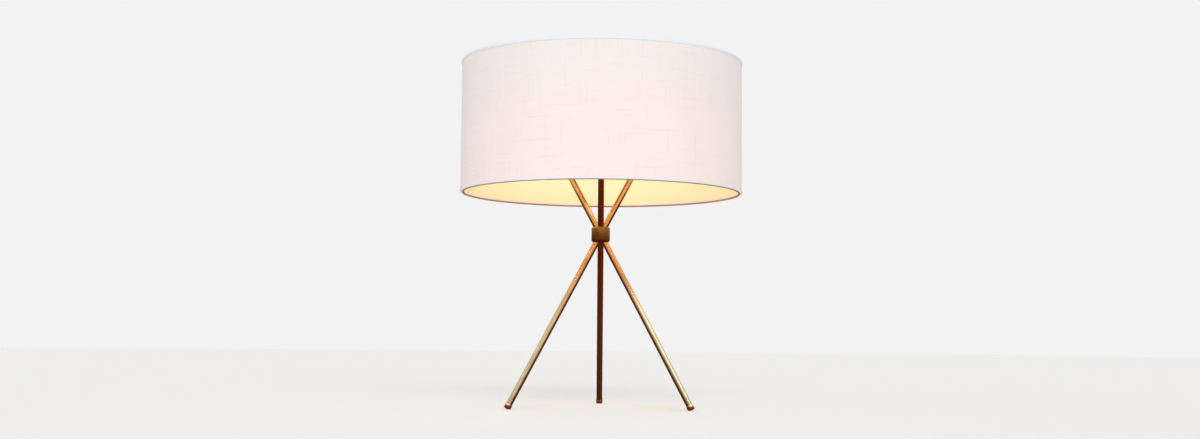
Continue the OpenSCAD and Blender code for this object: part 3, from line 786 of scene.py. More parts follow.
@dataclass
class Axis:
    """A line from a point along a direction, such as a rod's."""

    origin: Vector
    direction: Vector

    def spread(self, node: str) -> tuple[list[float], list[float]]:
        """Measures where each of a CAD node's points lies.

        Args:
            node: The node's name.

        Returns:
            The points' distances along this line, and their distances from it.
        """
        along, away = [], []
        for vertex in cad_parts[node].data.vertices:
            arm = vertex.co - self.origin
            along.append(arm.dot(self.direction))
            away.append((arm - along[-1] * self.direction).length)
        return along, away

    def span(self, node: str) -> tuple[float, float, float]:
        """Measures a CAD node along and round this line.

        Args:
            node: The node's name.

        Returns:
            Its nearest and farthest distance along the line, and its largest radius.
        """
        along, away = self.spread(node)
        return min(along), max(along), max(away)

    def nearest(self, node: str, least: float = 0.0) -> float:
        """Finds the least distance from this line to a CAD node's points.

        Args:
            node: The node's name.
            least: Points nearer than this, such as those on the axis, don't count.

        Returns:
            The distance.
        """
        return min(radius for radius in self.spread(node)[1] if radius >= least)

    def matrix(self, along: float = 0.0) -> Matrix:
        """Stands a shape's Z axis on this line.

        Args:
            along: How far from the origin the shape's own origin lies.

        Returns:
            The transform.
        """
        turn = self.direction.to_track_quat("Z", "Y").to_matrix().to_4x4()
        return Matrix.Translation(self.origin + along * self.direction) @ turn


LAMP_AXIS = Axis(Vector((0, 0, 0)), UP)


def chain(points: list[tuple], closed: bool = False) -> bmesh.types.BMesh:
    """Starts a shape as a line through some points.

    Args:
        points: The points, in order.
        closed: Whether the last point joins the first.

    Returns:
        The shape.
    """
    bm = bmesh.new()
    corners = [bm.verts.new(point) for point in points]
    pairs = list(zip(corners, corners[1:]))
    if closed:
        pairs.append((corners[-1], corners[0]))
    for pair in pairs:
        bm.edges.new(pair)
    return bm


def sweep(
    bm: bmesh.types.BMesh, steps: int, angle: float = FULL_TURN, rise: float = 0.0,
    joined: bool = False,
) -> None:
    """Spins a line round Z.

    Args:
        bm: The line, which becomes a surface.
        steps: How many sides the surface has.
        angle: How far it turns, in radians.
        rise: How far it climbs with each side.
        joined: Whether its end is merged with its start.
    """
    bmesh.ops.spin(
        bm, geom=bm.verts[:] + bm.edges[:], cent=(0, 0, 0), axis=UP, dvec=(0, 0, rise),
        angle=angle, steps=steps, use_merge=joined, use_duplicate=False,
    )


def lathe(profile: list[Point], steps: int, closed: bool = False) -> bmesh.types.BMesh:
    """Spins a profile round Z.

    Args:
        profile: Points as radius and height.
        steps: How many sides the shape has.
        closed: Whether the profile's last point joins its first.

    Returns:
        The shape.
    """
    bm = chain([(radius, 0, height) for radius, height in profile], closed)
    sweep(bm, steps, joined=True)
    bmesh.ops.remove_doubles(bm, verts=bm.verts[:], dist=MERGE)
    bmesh.ops.recalc_face_normals(bm, faces=bm.faces[:])
    return bm


def pipe(inner: float, outer: float, height: float, steps: int) -> bmesh.types.BMesh:
    """Makes a plain tube on Z.

    Args:
        inner: Its inner radius.
        outer: Its outer radius.
        height: Its height.
        steps: How many sides it has.

    Returns:
        The shape.
    """
    return lathe([(inner, 0), (outer, 0), (outer, height), (inner, height)], steps, True)


def ring(radius: float, height: float, thick: float, steps: int) -> bmesh.types.BMesh:
    """Bends a round wire into a ring round Z.

    Args:
        radius: From the axis to the wire's middle.
        height: Height of the wire's middle.
        thick: The wire's diameter.
        steps: How many sides the ring has.

    Returns:
        The shape.
    """
    around = arc((radius, height), thick / 2, 0.0, FULL_TURN, WIRE_SIDES)[:-1]
    return lathe(around, steps, closed=True)


def rod(radius: float, start: Vector, end: Vector) -> bmesh.types.BMesh:
    """Makes a round bar from one point to another, such as a drill's path.

    Args:
        radius: The bar's radius.
        start: The middle of one end.
        end: The middle of the other end.

    Returns:
        The shape.
    """
    bm = bmesh.new()
    turn = (end - start).to_track_quat("Z", "Y").to_matrix().to_4x4()
    bmesh.ops.create_cone(
        bm, cap_ends=True, segments=ROD_SIDES, radius1=radius, radius2=radius,
        depth=(end - start).length, matrix=Matrix.Translation((start + end) / 2) @ turn,
    )
    return bm


def block(low: Vector, high: Vector, turn: float = 0.0) -> bmesh.types.BMesh:
    """Makes a box between two corners, turned round Z afterwards.

    Args:
        low: The lowest corner.
        high: The highest corner.
        turn: The rotation, in radians.

    Returns:
        The shape.
    """
    bm = bmesh.new()
    size = Matrix.Diagonal((*(high - low), 1))
    place = Matrix.Rotation(turn, 4, "Z") @ Matrix.Translation((low + high) / 2) @ size
    bmesh.ops.create_cube(bm, size=1.0, matrix=place)
    return bm


def arc(
    centre: Point, radius: float, start: float, end: float, steps: int
) -> list[Point]:
    """Lists points along an arc.

    Args:
        centre: The arc's centre.
        radius: Its radius.
        start: The first angle, in radians.
        end: The last angle.
        steps: How many pieces the arc has.

    Returns:
        The points.
    """
    x, y = centre
    angles = [start + (end - start) * i / steps for i in range(steps + 1)]
    return [(x + radius * math.cos(a), y + radius * math.sin(a)) for a in angles]


def beads(
    radius: float, heights: tuple[float, ...], rise: float, half: float
) -> list[Point]:
    """Lists the points of rounded beads up the side of a profile.

    Args:
        radius: The side's radius.
        heights: Each bead's middle, from the bottom up.
        rise: How far a bead stands out.
        half: Half of a bead's height.

    Returns:
        The points.
    """
    shape = ((-1.0, 0.0), (-0.7, 0.7), (0.0, 1.0), (0.7, 0.7), (1.0, 0.0))
    return [(radius + out * rise, z + up * half) for z in heights for up, out in shape]


def bevel(
    bm: bmesh.types.BMesh, edges: list[bmesh.types.BMEdge], width: float, segments: int
) -> None:
    """Rounds some of a shape's edges.

    Args:
        bm: The shape.
        edges: The edges.
        width: The rounding's width.
        segments: How many faces the rounding has.
    """
    bmesh.ops.bevel(
        bm, geom=edges, offset=width, offset_type="OFFSET", segments=segments,
        profile=0.5, affect="EDGES", material=-1, clamp_overlap=True,
    )


def soften(
    bm: bmesh.types.BMesh, width: float, sharp: float = 0.5, segments: int = 2
) -> None:
    """Rounds a shape's sharp edges.

    Args:
        bm: The shape.
        width: The rounding's width.
        sharp: The least angle between faces that counts as sharp, in radians.
        segments: How many faces the rounding has.
    """
    edges = [e for e in bm.edges if e.is_manifold and e.calc_face_angle(0) > sharp]
    bevel(bm, edges, width, segments)


def wrap_uv(bm: bmesh.types.BMesh, radius: float) -> None:
    """Lays a UV map in metres round Z: X along the height and Y round the shape.

    Args:
        bm: The shape, standing on its own Z axis.
        radius: The radius at which a turn is measured.
    """
    layer = bm.loops.layers.uv.new(UV_NAME)
    for face in bm.faces:
        angles = [math.atan2(loop.vert.co.y, loop.vert.co.x) for loop in face.loops]
        if max(angles) - min(angles) > math.pi:
            angles = [a + FULL_TURN if a < 0 else a for a in angles]
        for loop, angle in zip(face.loops, angles):
            loop[layer].uv = (loop.vert.co.z, angle * radius)


@dataclass
class Workshop:
    """Turns shapes into the scene's pieces."""

    finishes: Finishes
    smooth_angle: float = 0.42
    merge: float = 0.002 * MM
    flat_angle: float = 0.002
    ease_segments: int = 2
    made: list[str] = field(default_factory=list)

    def piece(
        self, bm: bmesh.types.BMesh, name: str, body: str, slot: str,
        nodes: tuple[str, ...] = (), place: Matrix | None = None,
        cuts: tuple[bmesh.types.BMesh, ...] = (), edge: float = 0.0,
        finish: str | None = None,
    ) -> bpy.types.Object:
        """Makes an object that rides on a body.

        Args:
            bm: The shape, which is freed.
            name: The piece's name.
            body: The body that it rides on.
            slot: The record's material slot.
            nodes: The CAD nodes that it stands for.
            place: Where the shape goes in the frame.
            cuts: Shapes that are cut out of it, in the frame.
            edge: The width of the rounding of its sharp edges.
            finish: The finish that it has, where that isn't its slot's own.

        Returns:
            The object.
        """
        if place is not None:
            bmesh.ops.transform(bm, matrix=place, verts=bm.verts[:])
        obj = stand_up(name, as_mesh(bm, name))
        for tool in cuts:
            self._cut(obj, tool)
        obj.data.shade_smooth()
        obj.data.set_sharp_from_angle(angle=self.smooth_angle)
        if edge > 0:
            self._ease(obj, edge)
        obj.data.name = name
        obj.data.materials.clear()
        obj.data.materials.append(self.finishes.get(finish or slot))
        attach(obj, body)
        if nodes:
            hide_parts(*nodes)
        self.made.append(name)
        LOG.info("%s: %d faces on %s, in %s", name, len(obj.data.polygons), body, slot)
        return obj

    def refine(self, node: str, body: str, slot: str, edge: float = 0.0) -> None:
        """Stands a merged copy of a CAD node in for it, with its edges eased.

        Args:
            node: The node's name.
            body: The body that it rides on.
            slot: The record's material slot.
            edge: The width of the rounding of its sharp edges.
        """
        bm = bmesh.new()
        bm.from_mesh(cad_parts[node].data)
        bmesh.ops.remove_doubles(bm, verts=bm.verts[:], dist=self.merge)
        bmesh.ops.dissolve_limit(
            bm, angle_limit=self.flat_angle, verts=bm.verts[:], edges=bm.edges[:]
        )
        self.piece(bm, f"{node}_finished", body, slot, (node,), edge=edge)

    @staticmethod
    def _settle(obj: bpy.types.Object) -> None:
        """Turns an object's modifiers into its own mesh.

        Args:
            obj: The object.
        """
        ready = obj.evaluated_get(bpy.context.evaluated_depsgraph_get())
        mesh = bpy.data.meshes.new_from_object(ready)
        obj.modifiers.clear()
        old, obj.data = obj.data, mesh
        bpy.data.meshes.remove(old)

    def _cut(self, obj: bpy.types.Object, tool: bmesh.types.BMesh) -> None:
        """Cuts a shape out of an object.

        Args:
            obj: The object.
            tool: The shape, which is freed.
        """
        cutter = stand_up("cutter", as_mesh(tool, "cutter"))
        modifier = obj.modifiers.new("cut", "BOOLEAN")
        modifier.object = cutter
        modifier.solver = "EXACT"
        self._settle(obj)
        bpy.data.meshes.remove(cutter.data)

    def _ease(self, obj: bpy.types.Object, width: float) -> None:
        """Rounds an object's sharp edges.

        Args:
            obj: The object.
            width: The rounding's width.
        """
        modifier = obj.modifiers.new("ease", "BEVEL")
        modifier.width = width
        modifier.segments = self.ease_segments
        modifier.limit_method = "ANGLE"
        modifier.angle_limit = self.smooth_angle
        modifier.harden_normals = True
        self._settle(obj)


@dataclass
class Stand:
    """The rods, the hub and the feet."""

    legs: tuple[str, ...] = ("leg_back", "leg_left", "leg_right")
    arms: tuple[str, ...] = ("arm_front", "arm_right", "arm_left")
    wall: float = 1.2 * MM
    seat_fit: float = 0.05 * MM
    hub_chamfer: float = 1.3 * MM
    hub_round: float = 1.2 * MM
    hub_ease: float = 0.4 * MM
    hub_sharp: float = 0.3
    hub_bore: float = 3.2 * MM
    fillet: float = 1.1 * MM
    fillet_shape: tuple[Point, ...] = (
        (1.0, 0.0), (0.32, 0.32), (0.02, 1.0), (-0.3, 0.3), (0.3, -0.3)
    )
    ring_round: float = 0.25 * MM
    ring_steps: int = 3
    pad_round: float = 0.8 * MM
    pad_steps: int = 4
    pad_neck: float = 6 * MM
    bushing_round: float = 0.3 * MM
    sides: int = 72

    def __post_init__(self) -> None:
        """Finds the hub's centre and each rod's line."""
        low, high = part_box("hub")
        self.hub_low, self.hub_high = low.z, high.z
        self.hub_radius = (high.x - low.x) / 2
        self.centre = (low + high) / 2
        self.axes = {}
        for name in self.legs + self.arms:
            low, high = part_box(name)
            direction = ((low + high) / 2 - self.centre).normalized()
            self.axes[name] = Axis(self.centre, direction)

    def build(self, shop: Workshop) -> None:
        """Makes the stand's pieces.

        Args:
            shop: The workshop.
        """
        for name in self.legs + self.arms:
            self._tube(shop, name)
        self._hub(shop)
        self._fillets(shop)
        for leg in self.legs:
            self._ferrule(shop, leg)
            self._pad(shop, leg)
        for name in self.arms:
            shop.refine(name.replace("arm", "arm_plug"), "stand", "plug_brass")
        shop.refine("inlet_bushing", "stand", "bushing_plastic", self.bushing_round)

    def _tube(self, shop: Workshop, name: str) -> None:
        """Makes one tube, with its wire hole where the CAD has one.

        Args:
            shop: The workshop.
            name: The tube's node.
        """
        axis = self.axes[name]
        start, end, radius = axis.span(name)
        bm = pipe(radius - self.wall, radius, end - start, self.sides)
        wrap_uv(bm, radius)
        inside = (start + self.wall, end - self.wall)
        rim = [along for along in axis.spread(name)[0] if inside[0] < along < inside[1]]
        cuts = ()
        if rim:
            middle = axis.origin + (min(rim) + max(rim)) / 2 * axis.direction
            upper = (UP - UP.dot(axis.direction) * axis.direction).normalized()
            cuts = (rod((max(rim) - min(rim)) / 2, middle, middle + 2 * radius * upper),)
        shop.piece(
            bm, f"{name}_tube", "stand", "tube_brass", (name,), axis.matrix(start), cuts
        )

    def _hub(self, shop: Workshop) -> None:
        """Makes the hub, bored for the rods, with its chamfer above and its rounding below.

        Args:
            shop: The workshop.
        """
        r, h = self.hub_radius, self.hub_high - self.hub_low
        bm = lathe(
            [
                (0, 0), (r - self.hub_round, 0), (r, self.hub_round),
                (r, h - self.hub_chamfer), (r - self.hub_chamfer, h), (0, h),
            ],
            self.sides,
        )
        soften(bm, self.hub_ease, self.hub_sharp)
        place = Matrix.Translation((self.centre.x, self.centre.y, self.hub_low))
        cuts = []
        for name, axis in self.axes.items():
            start, _, radius = axis.span(name)
            seat = axis.origin + start * axis.direction
            cuts.append(rod(radius + self.seat_fit, seat, seat + 2 * h * axis.direction))
        half = h / 2 * self.axes[self.legs[0]].direction
        cuts.append(rod(self.hub_bore, self.centre - half, self.centre + half))
        shop.piece(bm, "hub_body", "stand", "hub_brass", ("hub",), place, tuple(cuts))

    def _fillets(self, shop: Workshop) -> None:
        """Makes the small brazed fillets where the rods enter the hub.

        Args:
            shop: The workshop.
        """
        bm = bmesh.new()
        for name, axis in self.axes.items():
            side = 1 if axis.direction.z > 0 else -1
            plane = self.hub_high if side > 0 else self.hub_low
            radius = axis.span(name)[2]
            rings = []
            for out, rise in self.fillet_shape:
                circle = bmesh.ops.create_circle(
                    bm, cap_ends=False, radius=radius + out * self.fillet,
                    segments=self.sides, matrix=axis.matrix(),
                )["verts"]
                level = plane + side * rise * self.fillet
                for vertex in circle:
                    vertex.co += axis.direction * (level - vertex.co.z) / axis.direction.z
                rings.append({edge for vertex in circle for edge in vertex.link_edges})
            for first, second in zip(rings, rings[1:] + rings[:1]):
                bmesh.ops.bridge_loops(bm, edges=list(first | second))
        bmesh.ops.recalc_face_normals(bm, faces=bm.faces[:])
        shop.piece(bm, "hub_fillets", "stand", "hub_brass")

    def _ferrule(self, shop: Workshop, leg: str) -> None:
        """Makes the band on one leg's end.

        Args:
            shop: The workshop.
            leg: The leg's node.
        """
        node = leg.replace("leg", "foot_ferrule")
        axis = self.axes[leg]
        start, end, radius = axis.span(node)
        bm = pipe(axis.span(leg)[2] + self.seat_fit, radius, end - start, self.sides)
        soften(bm, self.ring_round, segments=self.ring_steps)
        shop.piece(bm, f"{node}_band", "stand", "ferrule_copper", (node,), axis.matrix(start))

    def _pad(self, shop: Workshop, leg: str) -> None:
        """Makes the rubber pad under one leg, worn flat where it rests.

        Args:
            shop: The workshop.
            leg: The leg's node.
        """
        node = leg.replace("leg", "foot_pad")
        axis = self.axes[leg]
        _, top, tube = axis.span(leg)
        inner = tube - self.wall - self.seat_fit
        _, end, radius = axis.span(node)
        h = end - top
        bm = lathe(
            [
                (0, -self.pad_neck), (inner, -self.pad_neck), (inner, 0), (radius, 0),
                (radius, h), (0, h),
            ],
            self.sides,
        )
        lip = [
            e for e in bm.edges
            if all(v.co.z > h - TOUCH and v.co.xy.length > radius - TOUCH for v in e.verts)
        ]
        bevel(bm, lip, self.pad_round, self.pad_steps)
        bmesh.ops.transform(bm, matrix=axis.matrix(top), verts=bm.verts[:])
        cut = bmesh.ops.bisect_plane(
            bm, geom=bm.verts[:] + bm.edges[:] + bm.faces[:], plane_co=(0, 0, 0),
            plane_no=UP, clear_inner=True,
        )
        rim = [e for e in cut["geom_cut"] if isinstance(e, bmesh.types.BMEdge)]
        bmesh.ops.contextual_create(bm, geom=rim)
        bmesh.ops.recalc_face_normals(bm, faces=bm.faces[:])
        shop.piece(bm, f"{node}_rubber", "stand", "pad_rubber", (node,))


@dataclass
class Shade:
    """The drum of linen with its trims, liner, rings and spider, and a dark ring of painted
    shade along its bottom edge.
    """

    turns: int = 360
    rows: int = 12
    seam_lap: float = 12 * MM
    seam_rise: float = 0.45 * MM
    seam_ease: float = 5 * MM
    trim_high: float = 4.0 * MM
    trim_low: float = 2.9 * MM
    trim_inner: float = 3.0 * MM
    trim_slope: float = 0.9 * MM
    trim_round: float = 0.2 * MM
    slit: float = 3.8 * MM
    # Painted shade and warm glow: a dark copper-brown ring just inside the bottom edge; its
    # thickness, inset and height.
    rim_shade_thick: float = 3.0 * MM
    rim_shade_inset: float = 1.0 * MM
    rim_shade_rise: float = 0.4 * MM
    linen_clear: float = 0.05 * MM
    cut_width: float = field(default=0.0, init=False)
    cut_height: float = field(default=0.0, init=False)

    def build(self, shop: Workshop) -> None:
        """Makes the shade's pieces.

        Args:
            shop: The workshop.
        """
        self._liner(shop)
        shop.refine("shade_spider", "shade", "shade_wire")
        shop.refine("shade_bottom_ring", "shade", "shade_wire")
        trims = [self._trim(shop, name) for name in ("shade_trim_top", "shade_trim_bottom")]
        # Painted shade: a dark copper-brown ring along the inside of the bottom edge.
        inside = LAMP_AXIS.nearest("shade_trim_bottom")
        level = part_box("shade_trim_bottom")[0].z + self.rim_shade_rise
        bm = ring(inside + self.rim_shade_inset, level, self.rim_shade_thick, self.turns)
        shop.piece(bm, "shade_rim_painted_shade", "shade", "shade_wire", finish="rim_shade_paint")
        linen = self._linen(shop)

    def _liner(self, shop: Workshop) -> None:
        """Makes the stiff liner, a plain smooth tube.

        Args:
            shop: The workshop.
        """
        low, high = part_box("shade_liner")
        inside = LAMP_AXIS.nearest("shade_liner")
        bm = pipe(inside, high.x, high.z - low.z, self.turns)
        shop.piece(
            bm, "shade_liner_sheet", "shade", "shade_styrene", ("shade_liner",), lift(low.z)
        )

    def _linen(self, shop: Workshop) -> bpy.types.Object:
        """Wraps a strip of linen round the liner, with its lapped seam at the back.

        Args:
            shop: The workshop.

        Returns:
            The linen.
        """
        low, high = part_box("shade_linen")
        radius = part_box("shade_liner")[1].x + self.linen_clear
        thick = high.x - radius
        lap = self.seam_lap / radius
        count = self.rows + 1
        tall = high.z - low.z
        bm = chain([(0, radius, low.z + tall * i / self.rows) for i in range(count)])
        steps = round(self.turns * (1 + lap / FULL_TURN))
        sweep(bm, steps, FULL_TURN + lap)
        bm.verts.ensure_lookup_table()
        layer = bm.loops.layers.uv.new(UV_NAME)
        turn_of = {v: (FULL_TURN + lap) * (v.index // count) / steps for v in bm.verts}
        for face in bm.faces:
            for loop in face.loops:
                loop[layer].uv = (turn_of[loop.vert] * radius, loop.vert.co.z)
        for vertex, turn in turn_of.items():
            over = (turn - FULL_TURN) * radius + self.seam_ease
            share = min(max(over / self.seam_ease, 0.0), 1.0)
            ease = share * share * (3 - 2 * share)
            vertex.co.xy = vertex.co.xy * (1 + ease * self.seam_rise / radius)
        bmesh.ops.recalc_face_normals(bm, faces=bm.faces[:])
        outward = sum(f.normal.dot(f.calc_center_median()) for f in bm.faces)
        if outward < 0:
            bmesh.ops.reverse_faces(bm, faces=bm.faces[:])
        linen = shop.piece(bm, "shade_linen_cloth", "shade", "shade_linen", ("shade_linen",))
        self._sharpen_rim(linen)
        solid = linen.modifiers.new("thickness", "SOLIDIFY")
        solid.thickness = thick - self.seam_rise
        solid.offset = 1.0
        self.cut_width = FULL_TURN * radius + self.seam_lap
        self.cut_height = tall
        return linen

    @staticmethod
    def _sharpen_rim(sheet: bpy.types.Object) -> None:
        """Keeps a sheet's shading flat up to its cut edges, once it has its thickness.

        Args:
            sheet: The sheet.
        """
        bm = bmesh.new()
        bm.from_mesh(sheet.data)
        for edge in bm.edges:
            edge.smooth = not edge.is_boundary
        bm.to_mesh(sheet.data)
        bm.free()

    def _trim(self, shop: Workshop, node: str) -> bpy.types.Object:
        """Folds a strip over the shade's edge and its ring, with slits for the spokes above.

        Args:
            shop: The workshop.
            node: The trim's node.

        Returns:
            The trim.
        """
        low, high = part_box(node)
        outer = high.x
        inside = LAMP_AXIS.nearest(node)
        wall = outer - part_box("shade_linen")[1].x
        top = node.endswith("top")
        tall = self.trim_high if top else self.trim_low
        snug = outer - wall - self.seam_rise
        bm = lathe(
            [
                (outer, 0), (outer, tall - self.trim_slope), (snug, tall), (snug, wall),
                (inside + wall, wall), (inside + wall, self.trim_inner),
                (inside, self.trim_inner), (inside, 0),
            ],
            self.turns, closed=True,
        )
        soften(bm, self.trim_round)
        wrap_uv(bm, outer)
        place = lift(low.z)
        cuts = []
        if top:
            place = lift(high.z) @ Matrix.Rotation(math.pi, 4, "X")
            for turn in SPOKE_TURNS:
                near = Vector((inside - wall, -self.slit / 2, high.z - 2 * self.trim_high))
                far = Vector((inside + 2 * wall, self.slit / 2, high.z - wall))
                cuts.append(block(near, far, turn))
        return shop.piece(
            bm, f"{node}_fold", "shade", "trim_linen", (node,), place, tuple(cuts)
        )


@dataclass
class Holder:
    """The bracket on the arms, the lamp holder and its switch."""

    sheet: float = 0.8 * MM
    collar: float = 7 * MM
    collar_high: float = 7.6 * MM
    dome_high: float = 8 * MM
    dome_steps: int = 10
    bead_rise: float = 0.4 * MM
    bead_half: float = 0.8 * MM
    shell_beads: tuple[float, ...] = (13 * MM, 31 * MM, 35 * MM)
    knob_hole: float = 2 * MM
    knob_round: float = 0.35 * MM
    rib: float = 0.5 * MM
    rib_start: float = 2 * MM
    rib_long: float = 8 * MM
    rib_gap: float = 1.2 * MM
    rib_places: tuple[int, ...] = (-2, -1, 0, 1, 2)
    grip: float = 2.1 * MM
    sides: int = 96

    def build(self, shop: Workshop) -> None:
        """Makes the holder's pieces.

        Args:
            shop: The workshop.
        """
        self._cap(shop)
        self._shell(shop)
        for node, slot, edge in (
            ("socket_bracket", "fitting_brass", 0.0), ("bracket_screws", "plug_brass", 0.2),
            ("nipple", "zinc_steel", 0.15), ("lock_washer", "zinc_steel", 0.1),
            ("nipple_nut", "fitting_brass", 0.4), ("insulating_sleeve", "sleeve_card", 0.0),
            ("switch_body", "switch_phenolic", 0.3), ("terminal_screws", "zinc_steel", 0.2),
            ("screw_shell", "fitting_brass", 0.1), ("centre_contact", "fitting_brass", 0.2),
            ("harp_saddle", "fitting_brass", 0.25), ("lead_live", "lead_dark", 0.0),
            ("lead_neutral", "lead_light", 0.0),
        ):
            shop.refine(node, "stand", slot, edge * MM)
        shop.refine("switch_knob", "knob", "knob_plastic", self.knob_round)
        self._ribs(shop)

    def _cap(self, shop: Workshop) -> None:
        """Spins the cap: a collar, a round dome and a rim with a rolled edge.

        Args:
            shop: The workshop.
        """
        low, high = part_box("socket_cap")
        bore = LAMP_AXIS.nearest("socket_cap")
        r, t = high.x, self.sheet
        dome = self.collar_high
        rim = dome + self.dome_high
        top = high.z - low.z
        quarter = [math.pi / 2 * i / self.dome_steps for i in range(self.dome_steps + 1)]

        def bow(wide: float, tall: float) -> list[tuple[float, float]]:
            """Lists the dome's points, from its collar out to its rim."""
            return [
                (self.collar + wide * math.sin(a), rim - tall * math.cos(a)) for a in quarter
            ]

        outside = bow(r - self.collar, self.dome_high)
        inside = bow(r - t - self.collar, self.dome_high - t)
        bm = lathe(
            [
                (bore, 0), (self.collar, 0), *outside,
                *beads(r, (top - self.bead_half,), self.bead_rise, self.bead_half),
                (r - t, top), *reversed(inside), (bore, dome + t),
            ],
            self.sides, closed=True,
        )
        shop.piece(
            bm, "socket_cap_spun", "stand", "fitting_brass", ("socket_cap",), lift(low.z)
        )

    def _shell(self, shop: Workshop) -> None:
        """Spins the shell with its beads and rolled lip, and cuts its knob hole.

        Args:
            shop: The workshop.
        """
        low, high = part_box("socket_shell")
        r, h = high.x, high.z - low.z
        bm = lathe(
            [
                (r - self.sheet, 0), (r, 0),
                *beads(r, self.shell_beads, self.bead_rise, self.bead_half),
                *beads(r, (h - self.bead_half,), self.bead_rise, self.bead_half),
                (r - self.sheet, h),
            ],
            self.sides, closed=True,
        )
        knob_low, knob_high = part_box("switch_knob")
        hole = (knob_high.z + knob_low.z) / 2
        shaft = Vector((0, 0, hole))
        drill = rod(self.knob_hole, shaft, shaft + Vector((0, -2 * r, 0)))
        shop.piece(
            bm, "socket_shell_spun", "stand", "fitting_brass", ("socket_shell",),
            lift(low.z), (drill,),
        )

    def _ribs(self, shop: Workshop) -> None:
        """Lays grip ribs along the knob's two flats.

        Args:
            shop: The workshop.
        """
        low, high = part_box("switch_knob")
        middle = (low.z + high.z) / 2
        start = low.y + self.rib_start
        bm = bmesh.new()
        for side in (-1, 1):
            for place in self.rib_places:
                near = Vector((place * self.rib_gap, start, middle + side * self.grip))
                far = near + Vector((0, self.rib_long, 0))
                bar = as_mesh(rod(self.rib / 2, near, far), "bar")
                bm.from_mesh(bar)
                bpy.data.meshes.remove(bar)
        shop.piece(bm, "switch_knob_ribs", "knob", "knob_plastic")


@dataclass
class Harp:
    """The harp with its locking sleeves, and the finial on its stud."""

    bead_rise: float = 0.35 * MM
    bead_half: float = 0.7 * MM
    foot: float = 6.5 * MM
    waist: float = 4.2 * MM
    head: float = 7.5 * MM
    # Steps out from the foot's and from the waist's radius, with their heights.
    foot_edge: tuple[Point, ...] = (
        (-0.6 * MM, 0.0), (0.0, 0.6 * MM), (0.0, 2.0 * MM), (-0.5 * MM, 2.7 * MM)
    )
    waist_edge: tuple[Point, ...] = (
        (0.6 * MM, 3.1 * MM), (0.1 * MM, 3.7 * MM), (0.0, 4.4 * MM)
    )
    waist_bead: float = 5.3 * MM
    neck_share: float = 1.1
    head_steps: int = 24
    stud_bore: float = 14 * MM
    stud_least: float = 0.5 * MM
    harp_round: float = 0.3 * MM
    sides: int = 96

    def build(self, shop: Workshop) -> None:
        """Makes the harp's pieces.

        Args:
            shop: The workshop.
        """
        shop.refine("harp", "stand", "fitting_brass", self.harp_round)
        for side in ("left", "right"):
            self._sleeve(shop, side)
        self._finial(shop)

    def _sleeve(self, shop: Workshop, side: str) -> None:
        """Turns a locking sleeve with a bead at each end.

        Args:
            shop: The workshop.
            side: Which sleeve.
        """
        node = f"harp_sleeve_{side}"
        low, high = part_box(node)
        middle = (low + high) / 2
        bore = Axis(Vector((middle.x, middle.y, 0)), UP).nearest(node)
        r, h = (high.x - low.x) / 2, high.z - low.z
        ends = (self.bead_half, h - self.bead_half)
        side_line = beads(r - self.bead_rise, ends, self.bead_rise, self.bead_half)
        bm = lathe([(bore, 0), *side_line, (bore, h)], self.sides // 2, closed=True)
        place = Matrix.Translation((middle.x, middle.y, low.z))
        shop.piece(bm, f"{node}_turned", f"sleeve_{side}", "fitting_brass", (node,), place)

    def _finial(self, shop: Workshop) -> None:
        """Turns the finial: a rounded foot, a waist with a bead and a round head.

        Args:
            shop: The workshop.
        """
        low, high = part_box("finial")
        bore = LAMP_AXIS.nearest("finial", self.stud_least)
        h = high.z - low.z
        start = -math.acos(self.waist * self.neck_share / self.head)
        head = arc((0, h - self.head), self.head, start, math.pi / 2, self.head_steps)
        bm = lathe(
            [
                (0, self.stud_bore), (bore, self.stud_bore), (bore, 0),
                *((self.foot + out, height) for out, height in self.foot_edge),
                *((self.waist + out, height) for out, height in self.waist_edge),
                *beads(self.waist, (self.waist_bead,), 2 * self.bead_rise, self.bead_half),
                *head[:-1], (0, h),
            ],
            self.sides,
        )
        shop.piece(bm, "finial_turned", "finial", "plug_brass", ("finial",), lift(low.z))


